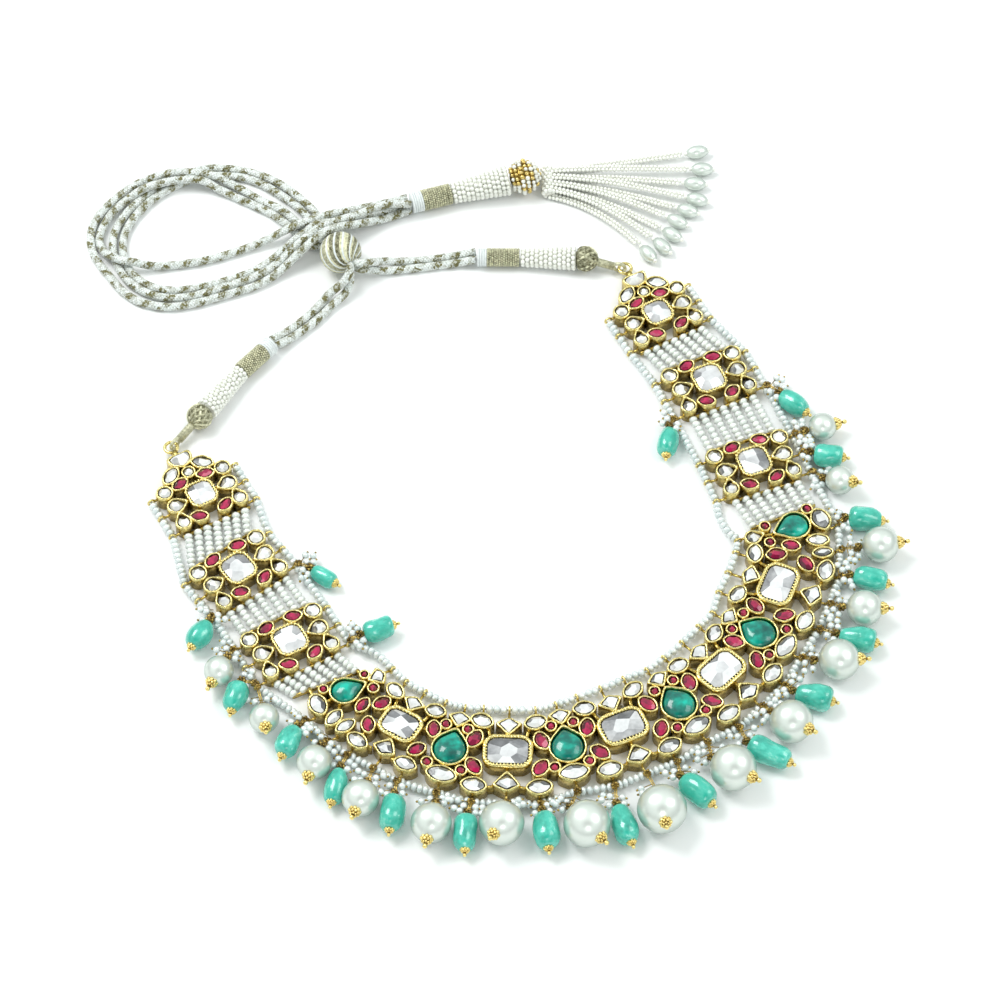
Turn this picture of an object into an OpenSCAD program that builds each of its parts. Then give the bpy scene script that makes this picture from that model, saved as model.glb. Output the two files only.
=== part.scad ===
// Kundan necklace lying flat: a U-shaped stone panel, six plaques on pearl strands,
// a fringe of pearls and green beads, and a braided cord with a slider and a tassel.
// Millimetres. Z is up from the surface it lies on, Y points from the panel's middle to
// the cord, and the origin is the middle of the neck opening.

/* [Settings] */
// Height of the gold settings above the surface
setting_h = 4.6; // [4:0.1:5.4]
// Width of the gold rim round each stone
rim_w = 0.85; // [0.7:0.05:0.95]
// Width of the milled border round a panel crystal
crystal_rim = 1.4; // [1.2:0.05:1.5]
// Depth of the pocket that a stone sits in
pocket_depth = 2.2; // [1.8:0.1:2.6]
// Clearance round each stone in its pocket
stone_gap = 0.1; // [0.06:0.01:0.15]
// Clearance between neighbouring units of the panel
unit_gap = 0.2; // [0.15:0.05:0.3]
// Rise of a flat diamond's table above its rim
table_rise = 0.25; // [0:0.05:0.4]
// Rise of an emerald's table above its rim
emerald_rise = 1.1; // [0.5:0.1:1.6]

/* [Strings] */
// Diameter of the seed pearls on the edge strings and strands
seed_d = 2.4; // [2:0.1:2.6]
// Diameter of the thread where it passes through a loop
thread_d = 0.8; // [0.6:0.1:0.9]
// Distance between neighbouring strands
strand_pitch = 3; // [2.8:0.05:3.2]
// Height of the strings' middle above the surface
string_z = 1.7; // [1.5:0.1:2]
// Outer diameter of the gold loops that carry the edge strings
loop_d = 2.4; // [2.2:0.1:2.6]
// Hole of the gold loops
loop_bore = 1.2; // [1.1:0.1:1.4]

/* [Fringe] */
// Diameter of the pins through the drops
pin_d = 0.6; // [0.5:0.05:0.7]
// Bore of the fringe pearls and green beads
bead_bore = 0.9; // [0.8:0.1:1.2]
// Width of the flower cap on a pearl
pearl_cap_d = 3.4; // [3:0.1:3.8]
// Width of the flower cap on a green bead
bead_cap_d = 2.4; // [2:0.1:2.8]

/* [Cord] */
// Diameter of the braided cords
cord_d = 2.3; // [2.1:0.1:2.4]
// Diameter of the slider knot
slider_d = 11.5; // [11:0.1:12]
// Diameter of the tassel's beaded ball
ball_d = 10; // [9:0.1:10.5]
// Diameter of the tassel's seed-pearl strings
tassel_string_d = 1.8; // [1.6:0.1:1.9]
// Diameter of the oval pearls at the tassel's tips
tip_d = 3.8; // [3.4:0.1:4]
// Length of the oval pearls at the tassel's tips
tip_len = 6.6; // [6:0.1:7]

/* [Hidden] */
EMERALD_NAMES = [for (i = [1:6]) str("emerald_", i)];
CRYSTAL_NAMES = [for (i = [1:5]) str("crystal_", i)];
EMERALD_SETTING_NAMES = [for (i = [1:6]) str("emerald_setting_", i)];
CRYSTAL_SETTING_NAMES = [for (i = [1:5]) str("crystal_setting_", i)];
PLAQUE_NAMES = ["left_plaque_1", "left_plaque_2", "left_plaque_3",
                "right_plaque_1", "right_plaque_2", "right_plaque_3"];
STRAND_NAMES = ["left_strands_1", "left_strands_2", "left_strands_3",
                "right_strands_1", "right_strands_2", "right_strands_3"];
CORD_NAMES = ["left_cord_a", "left_cord_b", "right_cord_a", "right_cord_b"];
SINGLE_NAMES = ["plaque_crystals", "panel_diamonds", "plaque_diamonds", "panel_rubies",
                "plaque_rubies", "outer_edge_string", "inner_edge_string", "fringe_pearls",
                "fringe_green_beads", "fringe_caps", "slider_knot", "left_wrap", "right_wrap",
                "tassel_wrap", "left_sleeve", "right_sleeve", "tassel_sleeve", "left_end_cap",
                "right_end_cap", "tassel_ball", "tassel_strings"];

exact = 48;          // facets of a true circle, rebuilt as a circle
gold = "#c9a24a";
dark_gold = "#8f7330";
diamond = "#e3e8ee";
ruby = "#b0123f";
emerald = "#0f9c78";
mint = "#52cdb0";
pearl = "#eeece2";
cord_white = "#e8ebe2";
zari = "#b0a468";

pocket_z = setting_h - pocket_depth;
bar_w = 1;           // gold bar that the strands' threads pass into
bar_bottom = 0.5;
bar_top = pocket_z;
loop_w = 0.8;        // length of a loop along its string
loop_reach = 13.35;  // a plaque's loops from its middle
end_narrow = 0.92;   // an end plaque's width beside the others'
strands = 7;
strand_gap = 0.9;    // between a strand's first pearl and the bar
end_bar_x = 4.6;     // the bar of a panel end, from the unit's middle
end_bar_half = 9.4;  // half its length
end_pitch = 2.8;     // between the strands at a panel end
function end_middle(side) = side > 0 ? -0.3 : -3.4;
seam = 0.4;          // between the pieces strung along the cord

// Columns of every table of stones: outline, x, y, width, height, turn, gem.
// Rows with x above zero are mirrored to the other side by twin(). A drop's x and y are
// the middle of its round end, its height runs from there to the tip. A kite's x and y
// are the crossing of its diagonals, with a third of its height above.
function flip(rows) = [for (s = rows) [s[0], -s[1], s[2], s[3], s[4], -s[5], s[6]]];
function twin(rows) = concat(rows, flip([for (s = rows) if (s[1] > 0) s]));

CRYSTAL_UNIT = twin([
    ["cushion", 0, 0, 10.2, 7.2, 0, "crystal"],
    ["leaf", 8.5, 3.3, 4.7, 3.0, -62, "ruby"],
    ["leaf", 8.5, -4.7, 4.7, 2.9, 57, "ruby"],
    ["leaf", 6.8, 8.7, 5.0, 3.2, 18, "diamond"],
    ["kite", 0, 7.9, 4.6, 3.6, 0, "diamond"],
    ["leaf", 8.3, -10.2, 5.8, 3.5, 8, "diamond"],
    ["kite", 0, -9.8, 5.4, 4.6, 180, "diamond"],
]);
EMERALD_UNIT = twin([
    ["drop", 0, -0.5, 8.4, 5.7, 0, "emerald"],
    ["round", 2.9, 6.2, 1.8, 1.8, 0, "ruby"],
    ["round", 4.5, -5.8, 1.9, 1.9, 0, "ruby"],
    ["leaf", 0, -8.2, 7.2, 3.8, 0, "diamond"],
    ["kite", 0, 9.0, 4.2, 3.2, 0, "diamond"],
]);
RIGHT_END_UNIT = [
    ["drop", 0, -1.1, 7.2, 5.6, 0, "emerald"],
    ["round", 2.9, 6.2, 1.8, 1.8, 0, "ruby"],
    ["round", -2.2, 7.2, 1.8, 1.8, 0, "ruby"],
    ["round", 3.3, -6.2, 1.9, 1.9, 0, "ruby"],
    ["leaf", -5.3, 2.6, 4.2, 2.5, 55, "ruby"],
    ["leaf", -1.0, -8.1, 6.0, 4.0, 0, "diamond"],
    ["leaf", -6.6, -4.6, 5.0, 2.7, 68, "diamond"],
    ["leaf", -10.6, -4.0, 4.6, 2.3, 74, "diamond"],
    ["drop", 1.0, 10.6, 3.0, 2.5, 180, "diamond"],
];
FIRST_CRYSTAL_UNIT = [
    ["cushion", 0, 0, 8.4, 6.5, 0, "crystal"],
    ["leaf", -7.3, 2.8, 4.2, 2.7, 62, "ruby"],
    ["leaf", 8.0, 3.1, 4.2, 2.7, -62, "ruby"],
    ["leaf", -6.9, -4.4, 4.2, 2.6, -57, "ruby"],
    ["leaf", 7.4, -4.3, 4.2, 2.6, 57, "ruby"],
    ["leaf", -6.3, 7.7, 4.5, 2.9, -18, "diamond"],
    ["leaf", 5.6, 7.9, 4.5, 2.9, 18, "diamond"],
    ["kite", -0.3, 7.2, 4.1, 3.2, 0, "diamond"],
    ["leaf", -6.8, -9.8, 5.2, 3.1, -8, "diamond"],
    ["leaf", 7.2, -9.4, 5.2, 3.1, 8, "diamond"],
    ["kite", 0.4, -8.4, 4.8, 4.2, 180, "diamond"],
];
LEFT_END_UNIT = [
    ["drop", 0.2, -0.5, 6.6, 5.5, 0, "emerald"],
    ["round", -2.4, -5.2, 1.5, 1.5, 0, "ruby"],
    ["round", -2.2, 6.1, 1.4, 1.4, 0, "ruby"],
    ["round", 2.4, 6.6, 1.9, 1.9, 0, "ruby"],
    ["leaf", 6.0, 2.1, 4.2, 2.2, -60, "ruby"],
    ["leaf", 1.2, -8.2, 5.8, 3.6, 0, "diamond"],
    ["leaf", 6.5, -6.0, 4.8, 2.5, -65, "diamond"],
    ["leaf", 9.9, -4.3, 4.8, 2.4, -80, "diamond"],
    ["kite", -0.3, 9.4, 3.4, 3.4, 0, "diamond"],
];
PLAQUE = twin([
    ["cushion", 0, 0, 7.2, 7.4, 0, "crystal"],
    ["leaf", 3.9, 5.9, 4.0, 2.5, -16, "ruby"],
    ["leaf", 3.8, -6.5, 4.0, 2.4, 25, "ruby"],
    ["round", 9.2, 4.9, 3.5, 3.5, 0, "diamond"],
    ["drop", 8.3, -0.4, 3.6, 2.8, 90, "diamond"],
    ["drop", 8.8, -6.2, 3.0, 2.6, 6, "diamond"],
]);
END_PLAQUE = twin([
    ["cushion", 0, 0, 6.4, 6.4, 0, "crystal"],
    ["leaf", 3.7, 5.2, 4.0, 2.3, -14, "ruby"],
    ["leaf", 3.8, -6.2, 4.0, 2.3, 25, "ruby"],
    ["round", 8.5, 4.6, 3.2, 3.2, 0, "diamond"],
    ["drop", 7.7, -0.4, 3.4, 2.7, 90, "diamond"],
    ["drop", 8.2, -6.0, 3.0, 2.6, 6, "diamond"],
    ["leaf", 4.6, 8.7, 5.2, 2.8, -35, "diamond"],
    ["round", 0, 7.6, 2.4, 2.4, 0, "diamond"],
    ["moon", 0, 13.4, 5.4, 3.0, 0, "diamond"],
]);

// Gold ribbons that tie a unit's rims together: x and y of one end, then of the other.
function twin_links(rows) = concat(rows, [for (k = rows) [-k[0], k[1], -k[2], k[3]]]);
CRYSTAL_LINKS = concat([[0, -4.6, 0, -6.6]],
    twin_links([[4.6, 4.4, 5.2, 7.4], [7.1, -6.4, 7.4, -8.6], [3, -9.9, 5.2, -10.3]]));
FIRST_LINKS = concat(0.93 * CRYSTAL_LINKS, twin_links([[4.6, 2, 6.3, 2.7], [4.4, -2.6, 6, -3.6]]));
LEFT_END_LINKS = [[0, 5, 1.7, 6.6], [-0.4, 5, -1, 7.8], [3.4, 1.2, 4.8, 2.4], [3.2, -3.2, 5.2, -4.2],
                  [0.6, -4.2, 0.9, -6.2], [-3.6, -1, -5, -1], [-1.4, -8.2, -5, -8.2],
                  [-2.8, 5.6, -5, 5.2]];
RIGHT_END_LINKS = [[0, 5, -1.7, 6.6], [0.4, 5, 1, 7.8], [-3.4, 1.2, -4.8, 2.4], [-3.2, -3.2, -5.2, -4.2],
                   [3.6, -1, 5, -1], [3.2, 6.2, 5, 6.2]];

// Columns of the lay tables: x, y, turn of the unit's own X axis.
EMERALD_LAY = [[-60, -36.5, -90], [-42.5, -62.9, -40], [-15.2, -74.3, -12],
               [15.7, -74.5, 11], [43.6, -63.6, 34], [65.6, -37.8, 90]];
CRYSTAL_LAY = [[-51.3, -51.5, -55], [-29.7, -69.9, -26], [0, -75, 0],
               [30, -70, 22], [54.7, -52.4, 45]];
PLAQUE_LAY = [[-71, 34.6, 5], [-71.1, 9, 13], [-67.2, -16.7, 5],
              [63.3, 39.4, 4], [66.5, 14, 0], [65.8, -15.1, -4]];

// Loops of a unit on its outer and inner edge: x, y, from left to right.
CRYSTAL_OUTER = [[-8.6, -14], [0, -14], [8.6, -14]];
CRYSTAL_INNER = [[-6.6, 13.7], [0, 13.5], [6.6, 13.7]];
FIRST_OUTER = [[-7.2, -13.6], [0.4, -13.4], [7.5, -13.6]];
FIRST_INNER = [[-6, 12.4], [-0.2, 12.3], [5.9, 12.4]];
EMERALD_OUTER = [[0, -12.6]];
EMERALD_INNER = [[0, 13.4]];
LEFT_END_OUTER = [[3.4, -12.3], [11, -9.6]];
LEFT_END_INNER = [[-2, 13.8]];
RIGHT_END_OUTER = [[-10.8, -8.8], [-3.4, -12.3]];
RIGHT_END_INNER = [[3, 13.8]];
PLAQUE_ROWS = [5.2, -0.8, -7.2];
END_BULGE = 1.5;     // inward bow of the inner string beside a panel end

// Fringe pearls: x, y, diameter, heading of the pin, lift of the pin above level.
PEARL_DROPS = [
    [-87.4, -18, 7.9, 221, 4], [-82.2, -35.8, 7.9, 254, 24], [-75.7, -53.2, 9.1, 229, 6],
    [-69.2, -67.8, 9.7, 229, 14], [-56, -81.7, 10.5, 235, 8], [-40, -89.3, 11.6, 222, 28],
    [-20.7, -98.2, 12.1, 282, 13], [-1.9, -102.2, 12.8, 253, 28], [19.7, -98.5, 12.1, 297, 16],
    [39.2, -92, 11.3, 296, 20], [58.5, -80.2, 10.8, 332, 9], [71.7, -68.4, 9.5, 330, 6],
    [84.2, -52.7, 9.7, 341, 5], [83.9, -29.7, 7.8, 310, 24], [87.3, -12.4, 7.6, 350, 2]];
// Green beads: x, y, length, diameter, heading of the pin.
BEAD_DROPS = [
    [-87.6, -5.4, 8.0, 6.7, 217], [-86.2, -26.6, 8.1, 6.3, 232], [-78.9, -44.4, 8.6, 6.6, 223],
    [-73.1, -60.9, 9.4, 5.8, 234], [-63.5, -74.2, 9.6, 7.2, 240], [-48.7, -86.9, 9.6, 6.6, 243],
    [-30.4, -94.6, 9.8, 7.4, 254], [-11.5, -100.8, 10.6, 6.8, 264], [9.2, -99.6, 10.0, 7.6, 289],
    [30.6, -97, 11.2, 7.4, 306], [48.3, -86.6, 9.4, 7.2, 318], [66.3, -75.4, 9.4, 6.8, 320],
    [77.4, -60.5, 8.8, 6.6, 320], [84.6, -43.1, 8.6, 6.6, 330], [84.8, -21, 7.6, 6.9, 325],
    [84, -1.9, 8.4, 6.1, 292], [-51.4, -1.4, 7, 5, 300], [-45.1, -22.7, 7.8, 6.8, 355],
    [48, 0.4, 8.2, 6, 240]];

// Where the cord's pieces lie: x, y, z of each piece's middle line.
LEFT_CAP_AT = [-62.2, 57.9, 3.6];
LEFT_SLEEVE_AT = [-46.4, 67.6, 2.7];
LEFT_WRAP_AT = [-35.4, 72.7, 2.7];
RIGHT_CAP_AT = [53.2, 63.9, 3.6];
RIGHT_SLEEVE_AT = [37.4, 72.1, 2.7];
RIGHT_WRAP_AT = [26.6, 77, 2.7];
TASSEL_WRAP_AT = [17.4, 101, 3.1];
TASSEL_SLEEVE_AT = [29, 99.6, 3.1];
TASSEL_BALL_AT = [49, 95.6, 5];
SLIDER_AT = [-7.4, 91.4, 5.75];
SLIDER_IN = [-5.8, 85.4, 5.4];
SLIDER_OUT = [-8.4, 97.4, 3.6];
// Middles of the oval pearls at the tassel's tips: x, y.
TASSEL_TIPS = [[97.3, 86], [96, 80], [92, 76.2], [90.2, 71], [86.2, 68.6],
               [82, 66.4], [78.8, 62.8], [74.6, 60.4], [70, 59.6]];

// Routes of the four cords, chosen by hand: from a wrap, through the slider, up and round
// the loop, and back to the tassel's wrap.
LEFT_A = [[-34.4, 71.9, 2.6], [-29, 73.4, 1.4], [-21, 76.2, 1.2], [-15, 79.2, 1.2], [-9.9, 81.2, 2.4],
          [-7.1, 85.8, 4.1], [-8.3, 91.5, 3.3], [-9.6, 97.5, 2.4], [-12.8, 99.9, 1.4],
          [-14.4, 103, 1.2], [-15.4, 108, 1.2], [-18.2, 114.4, 1.2], [-21.7, 119.4, 1.2],
          [-25.5, 124.4, 1.2], [-28.6, 128, 1.9], [-32, 131.4, 3.5], [-37, 133.8, 3.6],
          [-42, 134.9, 3.6], [-47.5, 135.2, 3.5], [-53, 134.8, 1.6], [-58.4, 132.4, 1.2],
          [-62.4, 128.8, 1.2], [-64.9, 125, 1.2], [-65.2, 121, 1.6], [-64.6, 118, 3.2],
          [-62.4, 114.8, 3.7], [-59, 112.6, 3.4], [-54.5, 110.6, 1.8], [-48, 108.7, 1.2],
          [-40, 107, 1.2], [-31, 106.4, 1.2], [-23, 106.2, 2], [-15, 106.4, 3.6], [-6, 106.2, 3.8],
          [2, 105, 3.6], [10, 103.6, 3.6], [17, 102.2, 4.4]];
LEFT_B = [[-35, 74.1, 2.6], [-29, 75.9, 1.4], [-21, 79, 1.2], [-15, 82, 2.2], [-9.6, 82.6, 5.5],
          [-7.1, 85.8, 6.5], [-8.3, 91.5, 5.7], [-9.6, 97.5, 4.8], [-10.5, 100.2, 3.6],
          [-11.6, 103.2, 1.4], [-12.8, 107.4, 1.2], [-14, 111, 1.6], [-15.9, 114.8, 1.9],
          [-19, 119.6, 1.2], [-22, 124.6, 1.2], [-25.4, 129, 2], [-28.8, 132, 3.6],
          [-33.4, 134.8, 3.7], [-38, 137, 3.7], [-43, 138.8, 2], [-48, 139.2, 1.2],
          [-53.4, 137.6, 1.2], [-60, 134.4, 1.2], [-65, 130, 1.2], [-67.5, 124.4, 1.2],
          [-67.8, 118.6, 1.2], [-66.6, 112.4, 1.2], [-65.4, 107, 1.2], [-62.4, 101.4, 1.2],
          [-56.4, 96.8, 1.2], [-49, 94.8, 1.2], [-40, 94, 1.2], [-31, 93.6, 1.2], [-24, 94.9, 1.9],
          [-17, 96.9, 4.6], [-8, 98.9, 7.1], [2, 99.5, 4], [10, 99.8, 1.9], [17, 99.8, 1.8]];
RIGHT_A = [[26, 76.4, 2.6], [19, 79, 1.2], [10, 81.5, 1.2], [3, 83.6, 1.4], [-1.4, 84.8, 2.8],
           [-4.7, 85.8, 4.1], [-5.9, 91.5, 3.3], [-7.2, 97.5, 2.4], [-6, 99.8, 1.2],
           [-6.6, 103, 1.2], [-7.2, 107.4, 1.2], [-7.4, 111, 1.2], [-8.7, 115, 1.2],
           [-10.5, 119.6, 1.2], [-13, 124.4, 1.2], [-17.2, 129.4, 1.2], [-22.4, 133.4, 1.2],
           [-28.2, 136.2, 1.2], [-34, 137, 1.2], [-40, 136.4, 1.2], [-47, 134.6, 1.2],
           [-54.4, 131, 1.2], [-60, 126, 1.2], [-62.8, 120, 1.2], [-63.4, 114, 1.2],
           [-62.4, 108.4, 1.2], [-59.4, 103.2, 1.2], [-55, 99.5, 1.2], [-49, 97.3, 1.3],
           [-40, 96.2, 1.8], [-31, 96, 1.8], [-24, 97.4, 2], [-17, 99.6, 4.2], [-12.5, 100.5, 5.8],
           [-8, 101.4, 6.4], [2, 102, 5], [10, 101.4, 6], [17, 99.8, 4.4]];
RIGHT_B = [[27.1, 78.8, 2.6], [19, 81.5, 1.2], [10, 84.1, 1.2], [3.6, 85.8, 2.6], [-1, 85.4, 5.2],
           [-4.7, 85.8, 6.5], [-5.9, 91.5, 5.7], [-7.2, 97.5, 4.8], [-8, 100.2, 3.5],
           [-9.2, 103, 1.2], [-9.7, 107, 1.2], [-10, 110.6, 1.3], [-11.4, 115, 1.2],
           [-13.6, 119.6, 1.2], [-16.2, 124.2, 1.2], [-19.6, 128.4, 1.2], [-24, 131.4, 1.2],
           [-29, 133.6, 1.2], [-34.6, 134.6, 1.2], [-40.6, 134, 1.2], [-47, 132.2, 1.2],
           [-53, 128.8, 1.2], [-57.8, 124.2, 1.2], [-60.4, 118.6, 1.2], [-61, 113, 1.2],
           [-59.7, 108, 1.2], [-56.8, 104, 1.2], [-52.4, 101, 1.2], [-47, 99.5, 1.2],
           [-40, 98.5, 1.2], [-31, 98.3, 1.2], [-24, 99.9, 1.3], [-17, 102, 3.1],
           [-12.6, 102.9, 4.2], [-8, 103.8, 4.5], [2, 101.6, 2], [10, 102.2, 1.6], [17, 102.2, 1.8]];

// Rotates and moves a point of a unit to its place on the necklace.
function place(lay, p) = [lay[0] + p[0] * cos(lay[2]) - p[1] * sin(lay[2]),
                          lay[1] + p[0] * sin(lay[2]) + p[1] * cos(lay[2])];
function unit(v) = v / norm(v);
function flat(rows) = [for (row = rows) for (item = row) item];
function last(rows) = rows[len(rows) - 1];

// The kinds of units: their stones and loops at unit i.
function emerald_stones(i) = i == 0 ? LEFT_END_UNIT : i == 5 ? RIGHT_END_UNIT : EMERALD_UNIT;
function crystal_stones(i) = i == 0 ? FIRST_CRYSTAL_UNIT : CRYSTAL_UNIT;
function plaque_stones(i) = i % 3 == 0 ? END_PLAQUE : PLAQUE;
function end_links(i) = i == 0 ? LEFT_END_LINKS : i == 5 ? RIGHT_END_LINKS : [];
function emerald_outer(i) = i == 0 ? LEFT_END_OUTER : i == 5 ? RIGHT_END_OUTER : EMERALD_OUTER;
function emerald_inner(i) = i == 0 ? LEFT_END_INNER : i == 5 ? RIGHT_END_INNER : EMERALD_INNER;
function crystal_outer(i) = i == 0 ? FIRST_OUTER : CRYSTAL_OUTER;
function crystal_inner(i) = i == 0 ? FIRST_INNER : CRYSTAL_INNER;
function plaque_loops(i, side) =
    [for (y = PLAQUE_ROWS) [side * loop_reach * (i % 3 == 0 ? end_narrow : 1), y]];

// Outlines of stones, grown by g. The curves are true circles, so they stay exact.
module outline(s, g) {
    w = s[3];
    h = s[4];
    translate([s[1], s[2]]) rotate(s[5]) {
        if (s[0] == "round") circle(w / 2 + g, $fn = exact);
        if (s[0] == "leaf") intersection_for (side = [-1, 1])
            translate([0, side * (leaf_r(w, h) - h / 2)]) circle(leaf_r(w, h) + g, $fn = exact);
        if (s[0] == "drop") {
            circle(w / 2 + g, $fn = exact);
            polygon(drop_tip(w, h, g));
        }
        if (s[0] == "cushion") polygon(cushion_points(w, h, g));
        if (s[0] == "kite") polygon(kite_points(w, h, g));
        if (s[0] == "moon") intersection() {
            translate([0, leaf_r(w, 2 * h) - h]) circle(leaf_r(w, 2 * h) + g, $fn = exact);
            translate([-w, -2 * h]) square([2 * w, 2 * h + g]);
        }
    }
}
function leaf_r(w, h) = (w * w + h * h) / (4 * h);
function drop_angle(w, h) = acos(w / 2 / h);
drop_tuck = 0.995;   // a drop's tip starts at this share of its round end's radius
function drop_tip(w, h, g) =
    let (r = w / 2 + g, tip = h * r / (w / 2), a = drop_angle(w, h), tuck = drop_tuck * r)
    [[0, tip], [tuck * sin(a), tuck * cos(a)], [0, 0], [-tuck * sin(a), tuck * cos(a)]];
function cushion_points(w, h, g) =
    let (x = w / 2 + g, y = h / 2 + g, c = 0.17 * min(w, h) + 0.586 * g)
    [[x, y - c], [x - c, y], [c - x, y], [-x, y - c], [-x, c - y], [c - x, -y], [x - c, -y],
     [x, c - y]];
function kite_points(w, h, g) =
    let (s = w / 2, up = h / 3, down = 2 * h / 3,
         top = norm([s, up]), low = norm([s, down]),
         rho = s * h / (top + low), mid = up - rho * top / s, k = (rho + g) / rho)
    [for (p = [[s, 0], [0, up], [-s, 0], [0, -down]]) [p[0] * k, mid + (p[1] - mid) * k]];

// The same outlines as rings of points for the stones' facets.
function arc(r, from, to, n, c = [0, 0]) =
    [for (i = [0:n - 1]) let (a = from + (to - from) * i / (n - 1)) c + r * [cos(a), sin(a)]];
function clip_corners(points, k) = flat([for (i = [0:len(points) - 1])
    let (p = points[i], a = points[(i + len(points) - 1) % len(points)],
         b = points[(i + 1) % len(points)]) [p + (a - p) * k, p + (b - p) * k]]);
function leaf_ring(w, h, g) =
    let (r = leaf_r(w, h) + g, drop = leaf_r(w, h) - h / 2, a = acos(drop / r))
    concat([for (p = arc(r, 90 - a, 90 + a, 5, [0, -drop])) p],
           [for (i = [1:3]) let (t = 270 - a + 2 * a * i / 4) [0, drop] + r * [cos(t), sin(t)]]);
function drop_ring(w, h, g) =
    let (a = drop_angle(w, h), t = drop_tip(w, h, g))
    concat([t[0]], arc(w / 2 + g, 90 + a, 450 - a, 7));
function moon_ring(w, h, g) =
    let (r = leaf_r(w, 2 * h) + g, lift = leaf_r(w, 2 * h) - h, a = asin((lift - g) / r))
    arc(r, 180 + a, 360 - a, 8, [0, lift]);
function ring_of(s, g) =
    s[0] == "round" ? arc(s[3] / 2 + g, 0, 315, 8)
    : s[0] == "leaf" ? leaf_ring(s[3], s[4], g)
    : s[0] == "drop" ? drop_ring(s[3], s[4], g)
    : s[0] == "cushion" ? cushion_points(s[3], s[4], g)
    : s[0] == "kite" ? clip_corners(kite_points(s[3], s[4], g), 0.12)
    : moon_ring(s[3], s[4], g);
function middle(points) = [for (p = points) 1] * points / len(points);
function ring_at(lay, s, g, k, z) =
    let (ring = ring_of(s, g), m = middle(ring))
    [for (p = ring) let (q = m + (p - m) * k)
        let (w = place(lay, place([s[1], s[2], s[5]], q))) [w[0], w[1], z]];

// A cut stone: a flat back, a low girdle, eight crown facets or more, and a table.
function stone_points(lay, s) =
    let (rise = s[6] == "emerald" ? emerald_rise : table_rise,
         table = s[6] == "emerald" ? 0.5 : s[6] == "ruby" ? 0.6 : 0.68)
    concat(ring_at(lay, s, -stone_gap, 1, pocket_z + 0.05),
           ring_at(lay, s, -stone_gap, 1, setting_h - 0.55),
           ring_at(lay, s, -stone_gap, table, setting_h + rise));
function shell_faces(n, rings, start) = concat(
    [[for (i = [0:n - 1]) start + i]],
    [for (r = [0:rings - 2]) for (i = [0:n - 1])
        [start + r * n + i, start + (r + 1) * n + i, start + (r + 1) * n + (i + 1) % n,
         start + r * n + (i + 1) % n]],
    [[for (i = [n - 1:-1:0]) start + (rings - 1) * n + i]]);

// Every stone in the list is [lay, row]; all have eight corners.
module stones(list) {
    corners = 8;
    points = flat([for (item = list) stone_points(item[0], item[1])]);
    faces = flat([for (i = [0:len(list) - 1]) shell_faces(corners, 3, 3 * corners * i)]);
    polyhedron(points, faces, convexity = 4);
}
function of_gem(lay, rows, gem) = [for (s = rows) if (s[6] == gem) [lay, s]];
function panel_gems(gem) = concat(
    flat([for (i = [0:5]) of_gem(EMERALD_LAY[i], emerald_stones(i), gem)]),
    flat([for (i = [0:4]) of_gem(CRYSTAL_LAY[i], crystal_stones(i), gem)]));
function plaque_gems(gem) = flat([for (i = [0:5]) of_gem(PLAQUE_LAY[i], plaque_stones(i), gem)]);

module at(lay) {
    translate([lay[0], lay[1]]) rotate(lay[2]) children();
}
module along(p, q) {
    v = q - p;
    translate(p) rotate([0, acos(v[2] / norm(v)), atan2(v[1], v[0])]) children();
}
module rod(p, q, d) {
    along(p, q) cylinder(d = d, h = norm(q - p), $fn = exact);
}

// The rims of a unit's stones, soldered into one block, less what its neighbours need.
module setting_block(rows, links = [], cut_lays = [], cut_rows = []) {
    difference() {
        union() {
            linear_extrude(setting_h) difference() {
                for (s = rows) outline(s, rim_of(s));
                for (i = [0:1:len(cut_lays) - 1]) at(cut_lays[i])
                    for (s = cut_rows[i]) outline(s, rim_of(s) + unit_gap);
            }
            linear_extrude(setting_h - link_step) for (k = links) ribbon([k[0], k[1]], [k[2], k[3]]);
        }
        translate([0, 0, pocket_z]) linear_extrude(setting_h) for (s = rows) outline(s, 0);
    }
}
link_w = 1;
link_step = 0.8;     // the ribbons' edge lies this much below the rims
function rim_of(s) = s[0] == "cushion" && s[3] > 8 ? crystal_rim : rim_w;
module ribbon(p, q) {
    translate(p) rotate(atan2(q[1] - p[1], q[0] - p[0])) translate([0, -link_w / 2])
        square([norm(q - p), link_w]);
}

// A loop on its neck. The loop faces along its edge string, the outer one (edge 1) or the
// inner one (edge -1). The neck runs back to the unit, along Y for the panel and along X
// for a plaque.
module string_loop(lay, p, edge, turn, neck) {
    translate([p[0], p[1], string_z]) {
        rotate([0, 90, string_heading(place(lay, p), edge) - lay[2]]) difference() {
            cylinder(d = loop_d, h = loop_w, center = true, $fn = exact);
            cylinder(d = loop_bore, h = 2 * loop_w, center = true, $fn = exact);
        }
        rotate(turn) translate([0, (loop_d + loop_bore) / 4, 0]) rotate([-90, 0, 0])
            cylinder(d = loop_w, h = neck, $fn = exact);
    }
}
// Direction of the edge string where it passes a loop.
function string_heading(point, edge) =
    let (path = edge_loops(edge), d = [for (q = path) norm(q - point)], least = min(d),
         j = [for (k = [0:len(d) - 1]) if (d[k] == least) k][0],
         t = path[min(j + 1, len(path) - 1)] - path[max(j - 1, 0)])
    atan2(t[1], t[0]);

// Lays of neighbours seen from a unit's own frame.
function seen_from(lay, other) =
    let (d = [other[0] - lay[0], other[1] - lay[1]])
    [d[0] * cos(lay[2]) + d[1] * sin(lay[2]), -d[0] * sin(lay[2]) + d[1] * cos(lay[2]),
     other[2] - lay[2]];

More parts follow.
